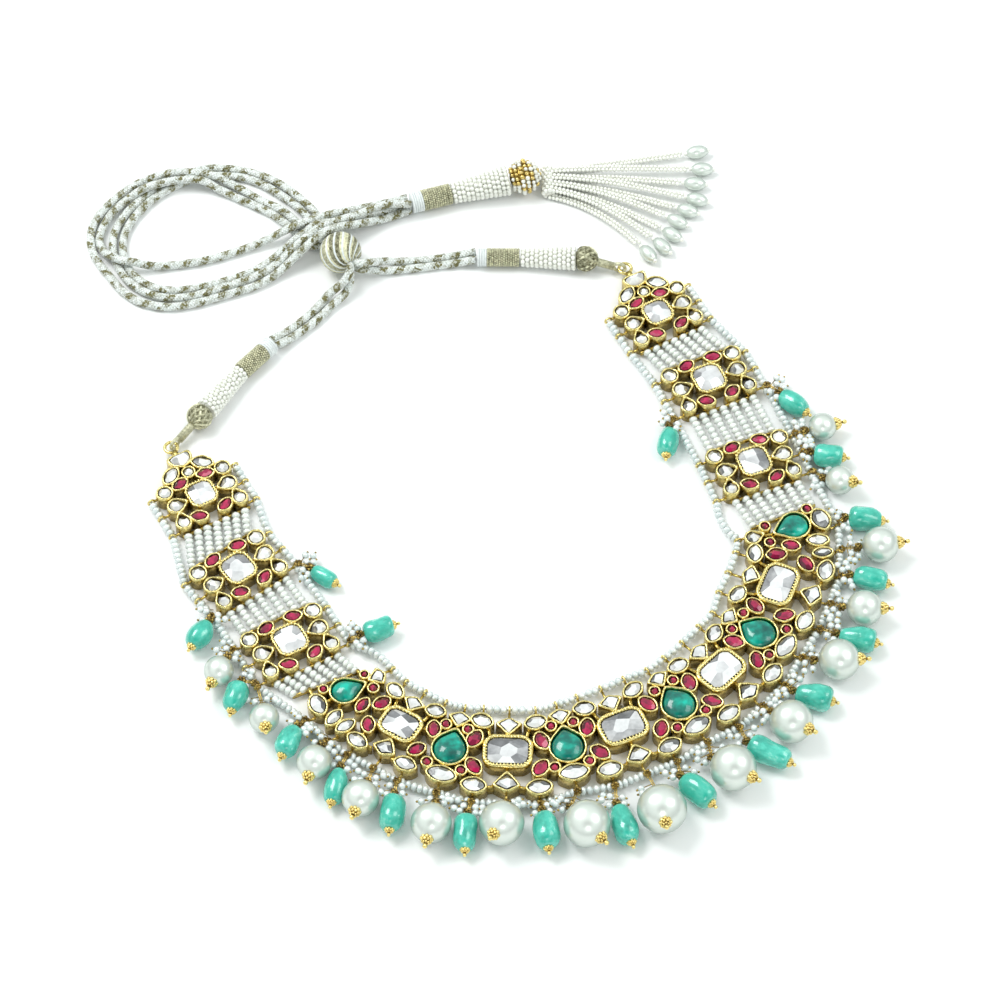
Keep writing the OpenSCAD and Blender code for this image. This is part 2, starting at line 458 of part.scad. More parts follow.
module emerald_setting(i) {
    side = i == 0 ? -1 : 1;
    color(gold) at(EMERALD_LAY[i]) {
        setting_block(emerald_stones(i), end_links(i));
        for (p = emerald_outer(i)) string_loop(EMERALD_LAY[i], p, 1, 0, 2.4);
        for (p = emerald_inner(i)) string_loop(EMERALD_LAY[i], p, -1, 180, 3.2);
        if (i == 0 || i == 5)
            translate([side > 0 ? end_bar_x : -end_bar_x - bar_w, end_middle(side) - end_bar_half,
                       bar_bottom])
                cube([bar_w, 2 * end_bar_half, bar_top - bar_bottom]);
    }
}
module crystal_setting(i) {
    lay = CRYSTAL_LAY[i];
    color(gold) at(lay) {
        setting_block(crystal_stones(i), i == 0 ? FIRST_LINKS : CRYSTAL_LINKS,
                      [seen_from(lay, EMERALD_LAY[i]), seen_from(lay, EMERALD_LAY[i + 1])],
                      [emerald_stones(i), emerald_stones(i + 1)]);
        for (p = crystal_outer(i)) string_loop(lay, p, 1, 0, 2.4);
        for (p = crystal_inner(i)) string_loop(lay, p, -1, 180, 3.4);
    }
}
bar_y = 8.4;         // middle of a plaque's bars from its own middle
module plaque(i) {
    top = i % 3 == 0;
    half = strand_pitch * strands / 2 - 0.6;
    color(gold) at(PLAQUE_LAY[i]) {
        setting_block(plaque_stones(i));
        for (side = [-1, 1]) {
            for (p = plaque_loops(i, side))
                string_loop(PLAQUE_LAY[i], p, i < 3 ? -side : side, 90 * side, 2.6);
            if (side < 0 || !top) translate([-half, side * bar_y - bar_w / 2, bar_bottom])
                cube([2 * half, bar_w, bar_top - bar_bottom]);
        }
        if (top) bail();
    }
}
bail_y = 18;
bail_r = 1.7;
bail_wire = 0.9;
bail_z = 2.3;
module bail() {
    translate([0, bail_y, bail_z]) rotate_extrude($fn = exact)
        translate([bail_r, 0]) circle(d = bail_wire, $fn = exact);
    translate([0, 14, bail_z]) rotate([-90, 0, 0])
        cylinder(d = 2.2, h = bail_y - bail_r - 14, $fn = exact);
}

// Path of an edge string: the loops it passes, in order from the left end to the right.
function world_loops(lay, points) = [for (p = points) place(lay, p)];
function plaque_run(i, side) = world_loops(PLAQUE_LAY[i], plaque_loops(i, side));
function reversed(points) = [for (k = [len(points) - 1:-1:0]) points[k]];
function panel_run(outer) = flat([for (i = [0:5]) concat(
    world_loops(EMERALD_LAY[i], outer ? emerald_outer(i) : emerald_inner(i)),
    i == 5 ? [] : world_loops(CRYSTAL_LAY[i], outer ? crystal_outer(i) : crystal_inner(i)))]);
function edge_loops(side) = concat(
    flat([for (i = [0:2]) plaque_run(i, -side)]),
    panel_run(side > 0),
    flat([for (i = [5:-1:3]) reversed(plaque_run(i, side))]));

// The string is full width over its pearls and narrows to the thread inside each loop.
function narrowing(points, i) =
    let (p = points[i], a = points[max(i - 1, 0)], b = points[min(i + 1, len(points) - 1)],
         t = unit(b - a), far = loop_w / 2 + 0.75, near = loop_w / 2 + 0.25)
    [[p - far * t, seed_d / 2], [p - near * t, thread_d / 2], [p + near * t, thread_d / 2],
     [p + far * t, seed_d / 2]];
function bulge(a, b, by) =
    let (t = unit(b - a)) [for (k = [0.25:0.25:0.75])
        [a + k * (b - a) + by * sin(180 * k) * [t[1], -t[0]], seed_d / 2]];
// Adds a bow where the string leaves a plaque for the panel's end.
function string_stations(loops, by) = flat([for (i = [0:len(loops) - 1]) concat(
    narrowing(loops, i),
    by != 0 && (i == 8 || i == len(loops) - 10) ? bulge(loops[i], loops[i + 1], by) : [])]);
module edge_string(side) {
    stations = string_stations(edge_loops(side), side > 0 ? 0 : -END_BULGE);
    count = len(stations);
    trimmed = [for (k = [1:count - 2]) stations[k]];
    color(pearl) tube([for (s = trimmed) [s[0][0], s[0][1], string_z]], [for (s = trimmed) s[1]], 7);
}

// A tube with flat sides along a route, with a radius at each point.
function tangent(points, i) =
    unit(points[min(i + 1, len(points) - 1)] - points[max(i - 1, 0)]);
function tube_ring(p, t, r, sides) =
    let (side = unit([-t[1], t[0], 0]), up = cross(t, side))
    [for (k = [0:sides - 1]) let (a = (k + 0.5) * 360 / sides)
        p + r * (cos(a) * side + sin(a) * up)];
module tube(points, radii, sides = 8) {
    rings = [for (i = [0:len(points) - 1]) tube_ring(points[i], tangent(points, i), radii[i], sides)];
    polyhedron(flat(rings), shell_faces(sides, len(points), 0), convexity = 8);
}

// A bundle of strands between two rows of ports, tied by a thread at each end.
function plaque_ports(i, end) = [for (k = [0:strands - 1])
    place(PLAQUE_LAY[i], [(k - (strands - 1) / 2) * strand_pitch * (i % 3 == 0 ? end_narrow : 0.98),
                          end * (bar_y + bar_w / 2 + strand_gap)])];
function end_ports(side) = [for (k = [0:strands - 1])
    place(EMERALD_LAY[side > 0 ? 5 : 0],
          [side * (end_bar_x + bar_w + strand_gap),
           end_middle(side) - side * (k - (strands - 1) / 2) * end_pitch])];
module strand_bundle(i) {
    side = i < 3 ? -1 : 1;
    from = plaque_ports(i, -1);
    to = i % 3 == 2 ? end_ports(side) : plaque_ports(i + 1, 1);
    color(pearl) {
        for (k = [0:strands - 1])
            rod([from[k][0], from[k][1], string_z], [to[k][0], to[k][1], string_z], seed_d);
        for (end = [[from, to], [to, from]]) {
            inset = 0.5 * unit(middle(end[1]) - middle(end[0]));
            a = end[0][0] + inset;
            b = last(end[0]) + inset;
            rod([a[0], a[1], string_z], [b[0], b[1], string_z], thread_d);
        }
    }
}

// The drops' own frame: the pin runs along X, from its eye on the left to its cap.
module at_drop(x, y, z, heading, lift) {
    translate([x, y, z]) rotate([0, -lift, heading]) children();
}
module fringe_pearls() {
    color(pearl) for (d = PEARL_DROPS) at_drop(d[0], d[1], d[2] / 2, d[3], d[4])
        rotate([0, 90, 0]) rotate_extrude($fn = exact) intersection() {
            circle(d = d[2], $fn = exact);
            translate([bead_bore / 2, -d[2]]) square(2 * d[2]);
        }
}
bead_end = 0.55;     // width of a green bead's flat end beside its middle
module fringe_green_beads() {
    color(mint) for (d = BEAD_DROPS) at_drop(d[0], d[1], d[3] / 2, d[4], 0) rotate([0, 90, 0])
        rotate_extrude($fn = exact) barrel_half(d[2], d[3]);
}
module barrel_half(length, d) {
    drop = d / 2 * (1 - bead_end);
    r = (length * length / 4 + drop * drop) / (2 * drop);
    intersection() {
        translate([d / 2 - r, 0]) circle(r, $fn = 2 * exact);
        translate([bead_bore / 2, -length / 2]) square([d, length]);
    }
}
// A pin with its cap, and the wire that hangs it from the nearest loop.
all_loops = concat(edge_loops(1), edge_loops(-1));
function nearest(p, list) =
    let (d = [for (q = list) norm(q - p)], least = min(d)) [for (i = [0:len(list) - 1])
        if (d[i] == least) list[i]][0];
module hanger(eye, half, heading, lift, z) {
    tail = half + pin_tail;
    foot = [eye[0] - tail * cos(lift) * cos(heading), eye[1] - tail * cos(lift) * sin(heading),
            z - tail * sin(lift)];
    loop = nearest([foot[0], foot[1]], all_loops);
    inward = unit([foot[0], foot[1]] - loop);
    hook = [loop[0] + hook_in * inward[0], loop[1] + hook_in * inward[1],
            string_z + loop_d / 2 + pin_d / 2 + 0.1];
    translate(foot) sphere(d = 2 * pin_d, $fn = exact);
    rod(foot, hook, pin_d);
}
pin_tail = 1;        // pin beyond a drop, up to the wire's knot
hook_in = 0.55;      // a wire's end, inward of its loop's middle
under_cap = 0.12;    // between a cap and its drop
// The pin with its cap and ball, turned in one piece. The seat is the drop's own radius
// under the cap, or 0 for a flat end, and half is half the drop's length.
module capped_pin(half, seat, width, length) {
    p = pin_d / 2;
    edge = half - (seat > 0 ? seat - sqrt(seat * seat - width * width / 4) : 0) + under_cap;
    mid = half - (seat > 0 ? seat - sqrt(seat * seat - width * width / 16) : 0) + under_cap;
    ball = 0.21 * width;
    up = edge + length;
    rotate([0, 90, 0]) rotate_extrude($fn = exact) polygon(concat(
        [[0, -half - pin_tail], [p, -half - pin_tail], [p, half + under_cap], [width / 4, mid],
         [width / 2, edge], [width / 2, edge + 0.3], [width / 4, up], [0.6 * ball, up]],
        [for (a = [-45:45:90]) [ball * cos(a), up + ball + ball * sin(a)]]));
}
module fringe_caps() {
    color(gold) {
        for (d = PEARL_DROPS) {
            at_drop(d[0], d[1], d[2] / 2, d[3], d[4])
                capped_pin(d[2] / 2, d[2] / 2, pearl_cap_d, 2);
            hanger(d, d[2] / 2, d[3], d[4], d[2] / 2);
        }
        for (d = BEAD_DROPS) {
            at_drop(d[0], d[1], d[3] / 2, d[4], 0) capped_pin(d[2] / 2, 0, bead_cap_d, 1);
            hanger(d, d[2] / 2, d[4], 0, d[3] / 2);
        }
    }
}

// Cords and what is strung on them.
module cord(i) {
    route = [LEFT_A, LEFT_B, RIGHT_A, RIGHT_B][i];
    color(cord_white) tube(route, [for (p = route) cord_d / 2]);
}
slider_bore = 2.6 * cord_d + 0.3;
slider_mouth = 4;    // the bore's mouth is wider by this
module slider_knot() {
    color(zari) difference() {
        translate(SLIDER_AT) sphere(d = slider_d, $fn = exact);
        along(SLIDER_IN, SLIDER_OUT) {
            translate([0, 0, -slider_d]) cylinder(d = slider_bore, h = 3 * slider_d, $fn = exact);
            translate([0, 0, -1]) cylinder(d1 = slider_bore + slider_mouth, d2 = slider_bore, h = 3,
                                           $fn = exact);
        }
    }
}
function between(p, q, gap) = p + gap * unit(q - p);
module taper(p, q, d1, d2) {
    from = between(p, q, seam / 2);
    to = between(q, p, seam / 2);
    along(from, to) cylinder(d1 = d1, d2 = d2, h = norm(to - from), $fn = exact);
}
wrap_d = 5.2;
cap_d = 7.2;
module left_wrap() {
    color(zari) taper(LEFT_SLEEVE_AT, LEFT_WRAP_AT, wrap_d, wrap_d);
}
module right_wrap() {
    color(zari) taper(RIGHT_SLEEVE_AT, RIGHT_WRAP_AT, wrap_d, wrap_d);
}
module tassel_wrap() {
    color(zari) taper(TASSEL_WRAP_AT, TASSEL_SLEEVE_AT, wrap_d + 0.8, wrap_d + 0.8);
}
module left_sleeve() {
    color(pearl) taper(between(LEFT_CAP_AT, LEFT_SLEEVE_AT, 2.4), LEFT_SLEEVE_AT, cap_d - 0.4, wrap_d);
}
module right_sleeve() {
    color(pearl) taper(between(RIGHT_CAP_AT, RIGHT_SLEEVE_AT, 2.4), RIGHT_SLEEVE_AT, cap_d - 0.4,
                       wrap_d);
}
module tassel_sleeve() {
    color(pearl) taper(TASSEL_SLEEVE_AT, between(TASSEL_BALL_AT, TASSEL_SLEEVE_AT, ball_d * 0.42),
                       wrap_d + 0.8, 8.6);
}
// A knotted cap: a ball cut flat where the sleeve starts, with a thread loop through the bail.
thread_loop_r = 1.6;
thread_loop_d = 1.2;
module end_cap(at_point, sleeve_point, plaque_lay) {
    bail = place(plaque_lay, [0, bail_y]);
    hook = [bail[0], bail[1], bail_z];
    toward = unit([at_point[0] - bail[0], at_point[1] - bail[1], 0]);
    color(zari) {
        difference() {
            translate(at_point) sphere(d = cap_d, $fn = exact);
            along(between(at_point, sleeve_point, 2.4), sleeve_point)
                cylinder(d = 2 * cap_d, h = cap_d, $fn = exact);
        }
        translate(hook + thread_loop_r * toward) rotate([90, 0, atan2(toward[1], toward[0])])
            rotate_extrude($fn = exact)
                translate([thread_loop_r, 0]) circle(d = thread_loop_d, $fn = exact);
        rod(hook + 2 * thread_loop_r * toward, at_point, 2 * thread_loop_d);
    }
}
module left_end_cap() {
    end_cap(LEFT_CAP_AT, LEFT_SLEEVE_AT, PLAQUE_LAY[0]);
}
module right_end_cap() {
    end_cap(RIGHT_CAP_AT, RIGHT_SLEEVE_AT, PLAQUE_LAY[3]);
}
module tassel_ball() {
    color(dark_gold) difference() {
        translate(TASSEL_BALL_AT) sphere(d = ball_d, $fn = exact);
        along(between(TASSEL_BALL_AT, TASSEL_SLEEVE_AT, ball_d * 0.42), TASSEL_SLEEVE_AT)
            cylinder(d = 2 * ball_d, h = ball_d, $fn = exact);
    }
}
// Nine strings fan out from a knotted roll at the ball, each to an oval pearl. They start
// in two layers, the upper ones between the lower.
tassel_heading = -20;
tassel_pitch = 1.05;
tassel_layers = [1.1, 3];
roll_d = 4;
roll_len = 9.4;
roll_out = 1.6;      // from the ball's surface to the roll's middle, level
function bend(a, b, c, t) = (1 - t) * (1 - t) * a + 2 * t * (1 - t) * b + t * t * c;
function tassel_out(angle) = [cos(angle), sin(angle), 0];
function tassel_start(k) =
    let (out = tassel_out(tassel_heading), side = [-out[1], out[0], 0], n = len(TASSEL_TIPS),
         base = [TASSEL_BALL_AT[0], TASSEL_BALL_AT[1], tassel_layers[k % 2]])
    base + (ball_d / 2 + roll_out) * out + ((n - 1) / 2 - k) * tassel_pitch * side;
function tassel_string(k) =
    let (a = tassel_start(k), tip = [TASSEL_TIPS[k][0], TASSEL_TIPS[k][1], tip_d / 2 + 0.05],
         b = a + 14 * tassel_out(tassel_heading + 4 - 2.5 * k), into = unit(tip - b),
         c = tip - tip_len / 2 * into, r = tassel_string_d / 2)
    concat([for (t = [0:0.25:1]) [bend(a, b, c, t), r]],
           [for (s = [0.2, 0.55, 0.8, 1]) [c + s * tip_len * into, tip_d / 2 * tip_width(s)]]);
function tip_width(s) = s == 1 ? 0.4 : s == 0.2 || s == 0.8 ? 0.82 : 1;
module tassel_strings() {
    out = tassel_out(tassel_heading);
    color(pearl) {
        translate([TASSEL_BALL_AT[0], TASSEL_BALL_AT[1], roll_d / 2 + 0.1] + (ball_d / 2 + roll_out) * out)
            rotate([90, 0, tassel_heading])
                cylinder(d = roll_d, h = roll_len, center = true, $fn = exact);
        for (k = [0:len(TASSEL_TIPS) - 1])
            tube([for (s = tassel_string(k)) s[0]], [for (s = tassel_string(k)) s[1]], 6);
    }
}

for (i = [0:5]) emerald_setting(i);
for (i = [0:4]) crystal_setting(i);
for (i = [0:5]) plaque(i);
for (i = [0:5]) color(emerald) stones(of_gem(EMERALD_LAY[i], emerald_stones(i), "emerald"));
for (i = [0:4]) color(diamond) stones(of_gem(CRYSTAL_LAY[i], crystal_stones(i), "crystal"));
for (i = [0:5]) strand_bundle(i);
for (i = [0:3]) cord(i);
color(diamond) stones(plaque_gems("crystal"));  // plaque_crystals
color(diamond) stones(panel_gems("diamond"));  // panel_diamonds
color(diamond) stones(plaque_gems("diamond"));  // plaque_diamonds
color(ruby) stones(panel_gems("ruby"));  // panel_rubies
color(ruby) stones(plaque_gems("ruby"));  // plaque_rubies
edge_string(1);  // outer_edge_string
edge_string(-1);  // inner_edge_string
fringe_pearls();
fringe_green_beads();
fringe_caps();
slider_knot();
left_wrap();
right_wrap();
tassel_wrap();
left_sleeve();
right_sleeve();
tassel_sleeve();
left_end_cap();
right_end_cap();
tassel_ball();
tassel_strings();
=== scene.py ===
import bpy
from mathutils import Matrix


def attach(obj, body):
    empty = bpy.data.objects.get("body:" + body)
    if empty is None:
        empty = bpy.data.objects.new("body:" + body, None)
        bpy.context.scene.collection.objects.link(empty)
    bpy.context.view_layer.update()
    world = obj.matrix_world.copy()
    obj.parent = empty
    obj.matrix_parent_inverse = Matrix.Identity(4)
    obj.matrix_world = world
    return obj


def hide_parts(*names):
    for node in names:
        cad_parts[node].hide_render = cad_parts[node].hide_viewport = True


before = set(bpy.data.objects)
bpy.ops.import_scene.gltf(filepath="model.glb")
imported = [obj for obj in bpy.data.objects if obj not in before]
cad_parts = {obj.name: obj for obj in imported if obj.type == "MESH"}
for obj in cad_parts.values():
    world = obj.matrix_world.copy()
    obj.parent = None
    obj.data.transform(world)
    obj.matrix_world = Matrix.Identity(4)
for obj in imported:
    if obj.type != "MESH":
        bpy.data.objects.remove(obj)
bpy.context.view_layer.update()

import math
import random

import bmesh
import bpy
import numpy as np
from mathutils import Matrix, Vector, noise

MM = 0.001
random.seed(7)

# Sizes that the part's source names.
SETTING_H = 4.6      # a gold block's height
RIM_W = 0.85         # gold round a small stone
CRYSTAL_RIM = 1.4    # gold round a large crystal
STRING_Z = 1.7       # the height of the pearl strings
LOOP_D = 2.4         # a string loop, inside
PIN_D = 0.6          # the wire in a pearl or a bead
BAR_Y = 8.4          # from a plaque's middle to its bar
BAR_W = 1.0
LOOP_REACH = 13.35   # from a plaque's middle to its side loops
END_NARROW = 0.92    # an end plaque's width, as a share of the others'
CORD_D = 2.3
SLIDER_D = 11.5
BALL_D = 10.0        # the tassel's ball
TIP_D = 3.8          # the oval pearl on a tassel string
TIP_LEN = 6.6
STRANDS = 7          # strings of pearls between two plaques
STRAND_PITCH = 3.0   # between the strings at a plaque
END_PITCH = 2.8      # and at the panel's end
END_BAR_X = 4.6      # from an end unit's middle to its bar
END_BAR_AT = {-1: -3.4, 1: -0.3}    # the bar's middle along the left and right ends
END_BAR_LEN = 18.8
PLAQUE_BAR_LEN = 19.8
BAIL_Y = 18          # from an end plaque's middle to its bail
BAIL_Z = 2.3

# The picture.
LOOK_AT = (0.000626, 0.003687, 0)
CAMERA_SIDE = (-0.2274, -0.5108, 0.8290)
CAMERA_AWAY = 1.2
LENS = 164.5
ROOM_LIGHT = 0.86
# Camera and light.
def camera_and_light():
    """The photograph's view: from above and a little left, 1.2 m off."""
    back = Vector(CAMERA_SIDE)
    data = bpy.data.cameras.new("photo_view")
    data.lens = LENS
    data.sensor_width = 36
    data.clip_start = 0.05
    camera = bpy.data.objects.new("photo_view", data)
    camera.location = Vector(LOOK_AT) + CAMERA_AWAY * back
    camera.rotation_euler = back.to_track_quat("Z", "Y").to_euler()
    bpy.context.scene.collection.objects.link(camera)
    bpy.context.scene.camera = camera
    for name, place, size, power in (("key", (-0.35, 0.5, 0.9), 0.5, 7.0),
                                     ("fill", (0.6, -0.3, 0.8), 0.5, 2.5),
                                     ("front", (-0.3, -0.9, 0.7), 0.35, 1.2)):
        lamp = bpy.data.lights.new(name, "AREA")
        lamp.size = size
        lamp.energy = power
        light = bpy.data.objects.new(name, lamp)
        light.location = place
        light.rotation_euler = Vector(place).to_track_quat("Z", "Y").to_euler()
        bpy.context.scene.collection.objects.link(light)
    bpy.context.scene.world = white_room(back)
    bpy.context.scene.view_settings.view_transform = "Standard"


def white_room(back):
    """A white tent round the table: grey where the lens looks in, dimmer low down."""
    world = bpy.data.worlds.new("white_room")
    world.use_nodes = True
    nodes, links = world.node_tree.nodes, world.node_tree.links
    way = nodes.new("ShaderNodeTexCoord").outputs["Generated"]
    towards = nodes.new("ShaderNodeVectorMath")
    towards.operation = "DOT_PRODUCT"
    towards.inputs[1].default_value = back.normalized()
    links.new(way, towards.inputs[0])
    opening = nodes.new("ShaderNodeMapRange")
    for key, value in (("From Min", 0.90), ("From Max", 0.965), ("To Min", 1.0),
                       ("To Max", 0.16)):
        opening.inputs[key].default_value = value
    links.new(towards.outputs["Value"], opening.inputs["Value"])
    height = nodes.new("ShaderNodeSeparateXYZ")
    links.new(way, height.inputs[0])
    low = nodes.new("ShaderNodeMapRange")
    for key, value in (("From Min", 0.05), ("From Max", 0.45), ("To Min", 0.45),
                       ("To Max", 1.0)):
        low.inputs[key].default_value = value
    links.new(height.outputs["Z"], low.inputs["Value"])
    both = nodes.new("ShaderNodeMath")
    both.operation = "MULTIPLY"
    links.new(opening.outputs[0], both.inputs[0])
    links.new(low.outputs[0], both.inputs[1])
    strength = nodes.new("ShaderNodeMath")
    strength.operation = "MULTIPLY"
    strength.inputs[1].default_value = ROOM_LIGHT
    links.new(both.outputs[0], strength.inputs[0])
    background = nodes["Background"]
    background.inputs["Color"].default_value = (0.92, 1.0, 0.985, 1)
    links.new(strength.outputs[0], background.inputs["Strength"])
    return world


camera_and_light()


# Layout helpers, as in the part's source.
def flip(s):
    """The same stone on the unit's other side."""
    return [s[0], -s[1], s[2], s[3], s[4], -s[5], s[6]]


def twin(rows):
    """Stones with their mirror images. A stone on the middle line stays single."""
    return rows + [flip(s) for s in rows if s[1] != 0]


def twin_links(rows):
    """Ribbons with their mirror images."""
    return rows + [[-k[0], k[1], -k[2], k[3]] for k in rows]


# Stones of each unit: outline, x, y, width, height, turn in degrees, gem.
CRYSTAL_UNIT = twin([
    ["cushion", 0, 0, 10.2, 7.2, 0, "crystal"],
    ["leaf", 8.5, 3.3, 4.7, 3.0, -62, "ruby"],
    ["leaf", 8.5, -4.7, 4.7, 2.9, 57, "ruby"],
    ["leaf", 6.8, 8.7, 5.0, 3.2, 18, "diamond"],
    ["kite", 0, 7.9, 4.6, 3.6, 0, "diamond"],
    ["leaf", 8.3, -10.2, 5.8, 3.5, 8, "diamond"],
    ["kite", 0, -9.8, 5.4, 4.6, 180, "diamond"],
])
EMERALD_UNIT = twin([
    ["drop", 0, -0.5, 8.4, 5.7, 0, "emerald"],
    ["round", 2.9, 6.2, 1.8, 1.8, 0, "ruby"],
    ["round", 4.5, -5.8, 1.9, 1.9, 0, "ruby"],
    ["leaf", 0, -8.2, 7.2, 3.8, 0, "diamond"],
    ["kite", 0, 9.0, 4.2, 3.2, 0, "diamond"],
])
RIGHT_END_UNIT = [
    ["drop", 0, -1.1, 7.2, 5.6, 0, "emerald"],
    ["round", 2.9, 6.2, 1.8, 1.8, 0, "ruby"],
    ["round", -2.2, 7.2, 1.8, 1.8, 0, "ruby"],
    ["round", 3.3, -6.2, 1.9, 1.9, 0, "ruby"],
    ["leaf", -5.3, 2.6, 4.2, 2.5, 55, "ruby"],
    ["leaf", -1.0, -8.1, 6.0, 4.0, 0, "diamond"],
    ["leaf", -6.6, -4.6, 5.0, 2.7, 68, "diamond"],
    ["leaf", -10.6, -4.0, 4.6, 2.3, 74, "diamond"],
    ["drop", 1.0, 10.6, 3.0, 2.5, 180, "diamond"],
]
FIRST_CRYSTAL_UNIT = [
    ["cushion", 0, 0, 8.4, 6.5, 0, "crystal"],
    ["leaf", -7.3, 2.8, 4.2, 2.7, 62, "ruby"],
    ["leaf", 8.0, 3.1, 4.2, 2.7, -62, "ruby"],
    ["leaf", -6.9, -4.4, 4.2, 2.6, -57, "ruby"],
    ["leaf", 7.4, -4.3, 4.2, 2.6, 57, "ruby"],
    ["leaf", -6.3, 7.7, 4.5, 2.9, -18, "diamond"],
    ["leaf", 5.6, 7.9, 4.5, 2.9, 18, "diamond"],
    ["kite", -0.3, 7.2, 4.1, 3.2, 0, "diamond"],
    ["leaf", -6.8, -9.8, 5.2, 3.1, -8, "diamond"],
    ["leaf", 7.2, -9.4, 5.2, 3.1, 8, "diamond"],
    ["kite", 0.4, -8.4, 4.8, 4.2, 180, "diamond"],
]
LEFT_END_UNIT = [
    ["drop", 0.2, -0.5, 6.6, 5.5, 0, "emerald"],
    ["round", -2.4, -5.2, 1.5, 1.5, 0, "ruby"],
    ["round", -2.2, 6.1, 1.4, 1.4, 0, "ruby"],
    ["round", 2.4, 6.6, 1.9, 1.9, 0, "ruby"],
    ["leaf", 6.0, 2.1, 4.2, 2.2, -60, "ruby"],
    ["leaf", 1.2, -8.2, 5.8, 3.6, 0, "diamond"],
    ["leaf", 6.5, -6.0, 4.8, 2.5, -65, "diamond"],
    ["leaf", 9.9, -4.3, 4.8, 2.4, -80, "diamond"],
    ["kite", -0.3, 9.4, 3.4, 3.4, 0, "diamond"],
]
PLAQUE = twin([
    ["cushion", 0, 0, 7.2, 7.4, 0, "crystal"],
    ["leaf", 3.9, 5.9, 4.0, 2.5, -16, "ruby"],
    ["leaf", 3.8, -6.5, 4.0, 2.4, 25, "ruby"],
    ["round", 9.2, 4.9, 3.5, 3.5, 0, "diamond"],
    ["drop", 8.3, -0.4, 3.6, 2.8, 90, "diamond"],
    ["drop", 8.8, -6.2, 3.0, 2.6, 6, "diamond"],
])
END_PLAQUE = twin([
    ["cushion", 0, 0, 6.4, 6.4, 0, "crystal"],
    ["leaf", 3.7, 5.2, 4.0, 2.3, -14, "ruby"],
    ["leaf", 3.8, -6.2, 4.0, 2.3, 25, "ruby"],
    ["round", 8.5, 4.6, 3.2, 3.2, 0, "diamond"],
    ["drop", 7.7, -0.4, 3.4, 2.7, 90, "diamond"],
    ["drop", 8.2, -6.0, 3.0, 2.6, 6, "diamond"],
    ["leaf", 4.6, 8.7, 5.2, 2.8, -35, "diamond"],
    ["round", 0, 7.6, 2.4, 2.4, 0, "diamond"],
    ["moon", 0, 13.4, 5.4, 3.0, 0, "diamond"],
])

# Gold ribbons between stones: x and y of both ends.
CRYSTAL_LINKS = [[0, -4.6, 0, -6.6]] + twin_links([
    [4.6, 4.4, 5.2, 7.4], [7.1, -6.4, 7.4, -8.6], [3, -9.9, 5.2, -10.3]])
FIRST_LINKS = [[0.93 * v for v in k] for k in CRYSTAL_LINKS] + twin_links([
    [4.6, 2, 6.3, 2.7], [4.4, -2.6, 6, -3.6]])
LEFT_END_LINKS = [[0, 5, 1.7, 6.6], [-0.4, 5, -1, 7.8], [3.4, 1.2, 4.8, 2.4],
                  [3.2, -3.2, 5.2, -4.2], [0.6, -4.2, 0.9, -6.2], [-3.6, -1, -5, -1],
                  [-1.4, -8.2, -5, -8.2], [-2.8, 5.6, -5, 5.2]]
RIGHT_END_LINKS = [[0, 5, -1.7, 6.6], [0.4, 5, 1, 7.8], [-3.4, 1.2, -4.8, 2.4],
                   [-3.2, -3.2, -5.2, -4.2], [3.6, -1, 5, -1], [3.2, 6.2, 5, 6.2]]

# Where each unit lies: x, y and its turn in degrees.
EMERALD_LAY = [[-60, -36.5, -90], [-42.5, -62.9, -40], [-15.2, -74.3, -12],
               [15.7, -74.5, 11], [43.6, -63.6, 34], [65.6, -37.8, 90]]
CRYSTAL_LAY = [[-51.3, -51.5, -55], [-29.7, -69.9, -26], [0, -75, 0],
               [30, -70, 22], [54.7, -52.4, 45]]
PLAQUE_LAY = [[-71, 34.6, 5], [-71.1, 9, 13], [-67.2, -16.7, 5],
              [63.3, 39.4, 4], [66.5, 14, 0], [65.8, -15.1, -4]]

# String loops along a unit's outer and inner edges: x and y in the unit's frame.
CRYSTAL_OUTER = [[-8.6, -14], [0, -14], [8.6, -14]]
CRYSTAL_INNER = [[-6.6, 13.7], [0, 13.5], [6.6, 13.7]]
FIRST_OUTER = [[-7.2, -13.6], [0.4, -13.4], [7.5, -13.6]]
FIRST_INNER = [[-6, 12.4], [-0.2, 12.3], [5.9, 12.4]]
EMERALD_OUTER = [[0, -12.6]]
EMERALD_INNER = [[0, 13.4]]
LEFT_END_OUTER = [[3.4, -12.3], [11, -9.6]]
LEFT_END_INNER = [[-2, 13.8]]
RIGHT_END_OUTER = [[-10.8, -8.8], [-3.4, -12.3]]
RIGHT_END_INNER = [[3, 13.8]]
PLAQUE_ROWS = [5.2, -0.8, -7.2]
END_BULGE = 1.5      # how far the inner string bows out beside the panel's ends

# Fringe pearls: x, y, diameter, turn and lift in degrees.
PEARL_DROPS = [
    [-87.4, -18, 7.9, 221, 4], [-82.2, -35.8, 7.9, 254, 24], [-75.7, -53.2, 9.1, 229, 6],
    [-69.2, -67.8, 9.7, 229, 14], [-56, -81.7, 10.5, 235, 8], [-40, -89.3, 11.6, 222, 28],
    [-20.7, -98.2, 12.1, 282, 13], [-1.9, -102.2, 12.8, 253, 28], [19.7, -98.5, 12.1, 297, 16],
    [39.2, -92, 11.3, 296, 20], [58.5, -80.2, 10.8, 332, 9], [71.7, -68.4, 9.5, 330, 6],
    [84.2, -52.7, 9.7, 341, 5], [83.9, -29.7, 7.8, 310, 24], [87.3, -12.4, 7.6, 350, 2]]

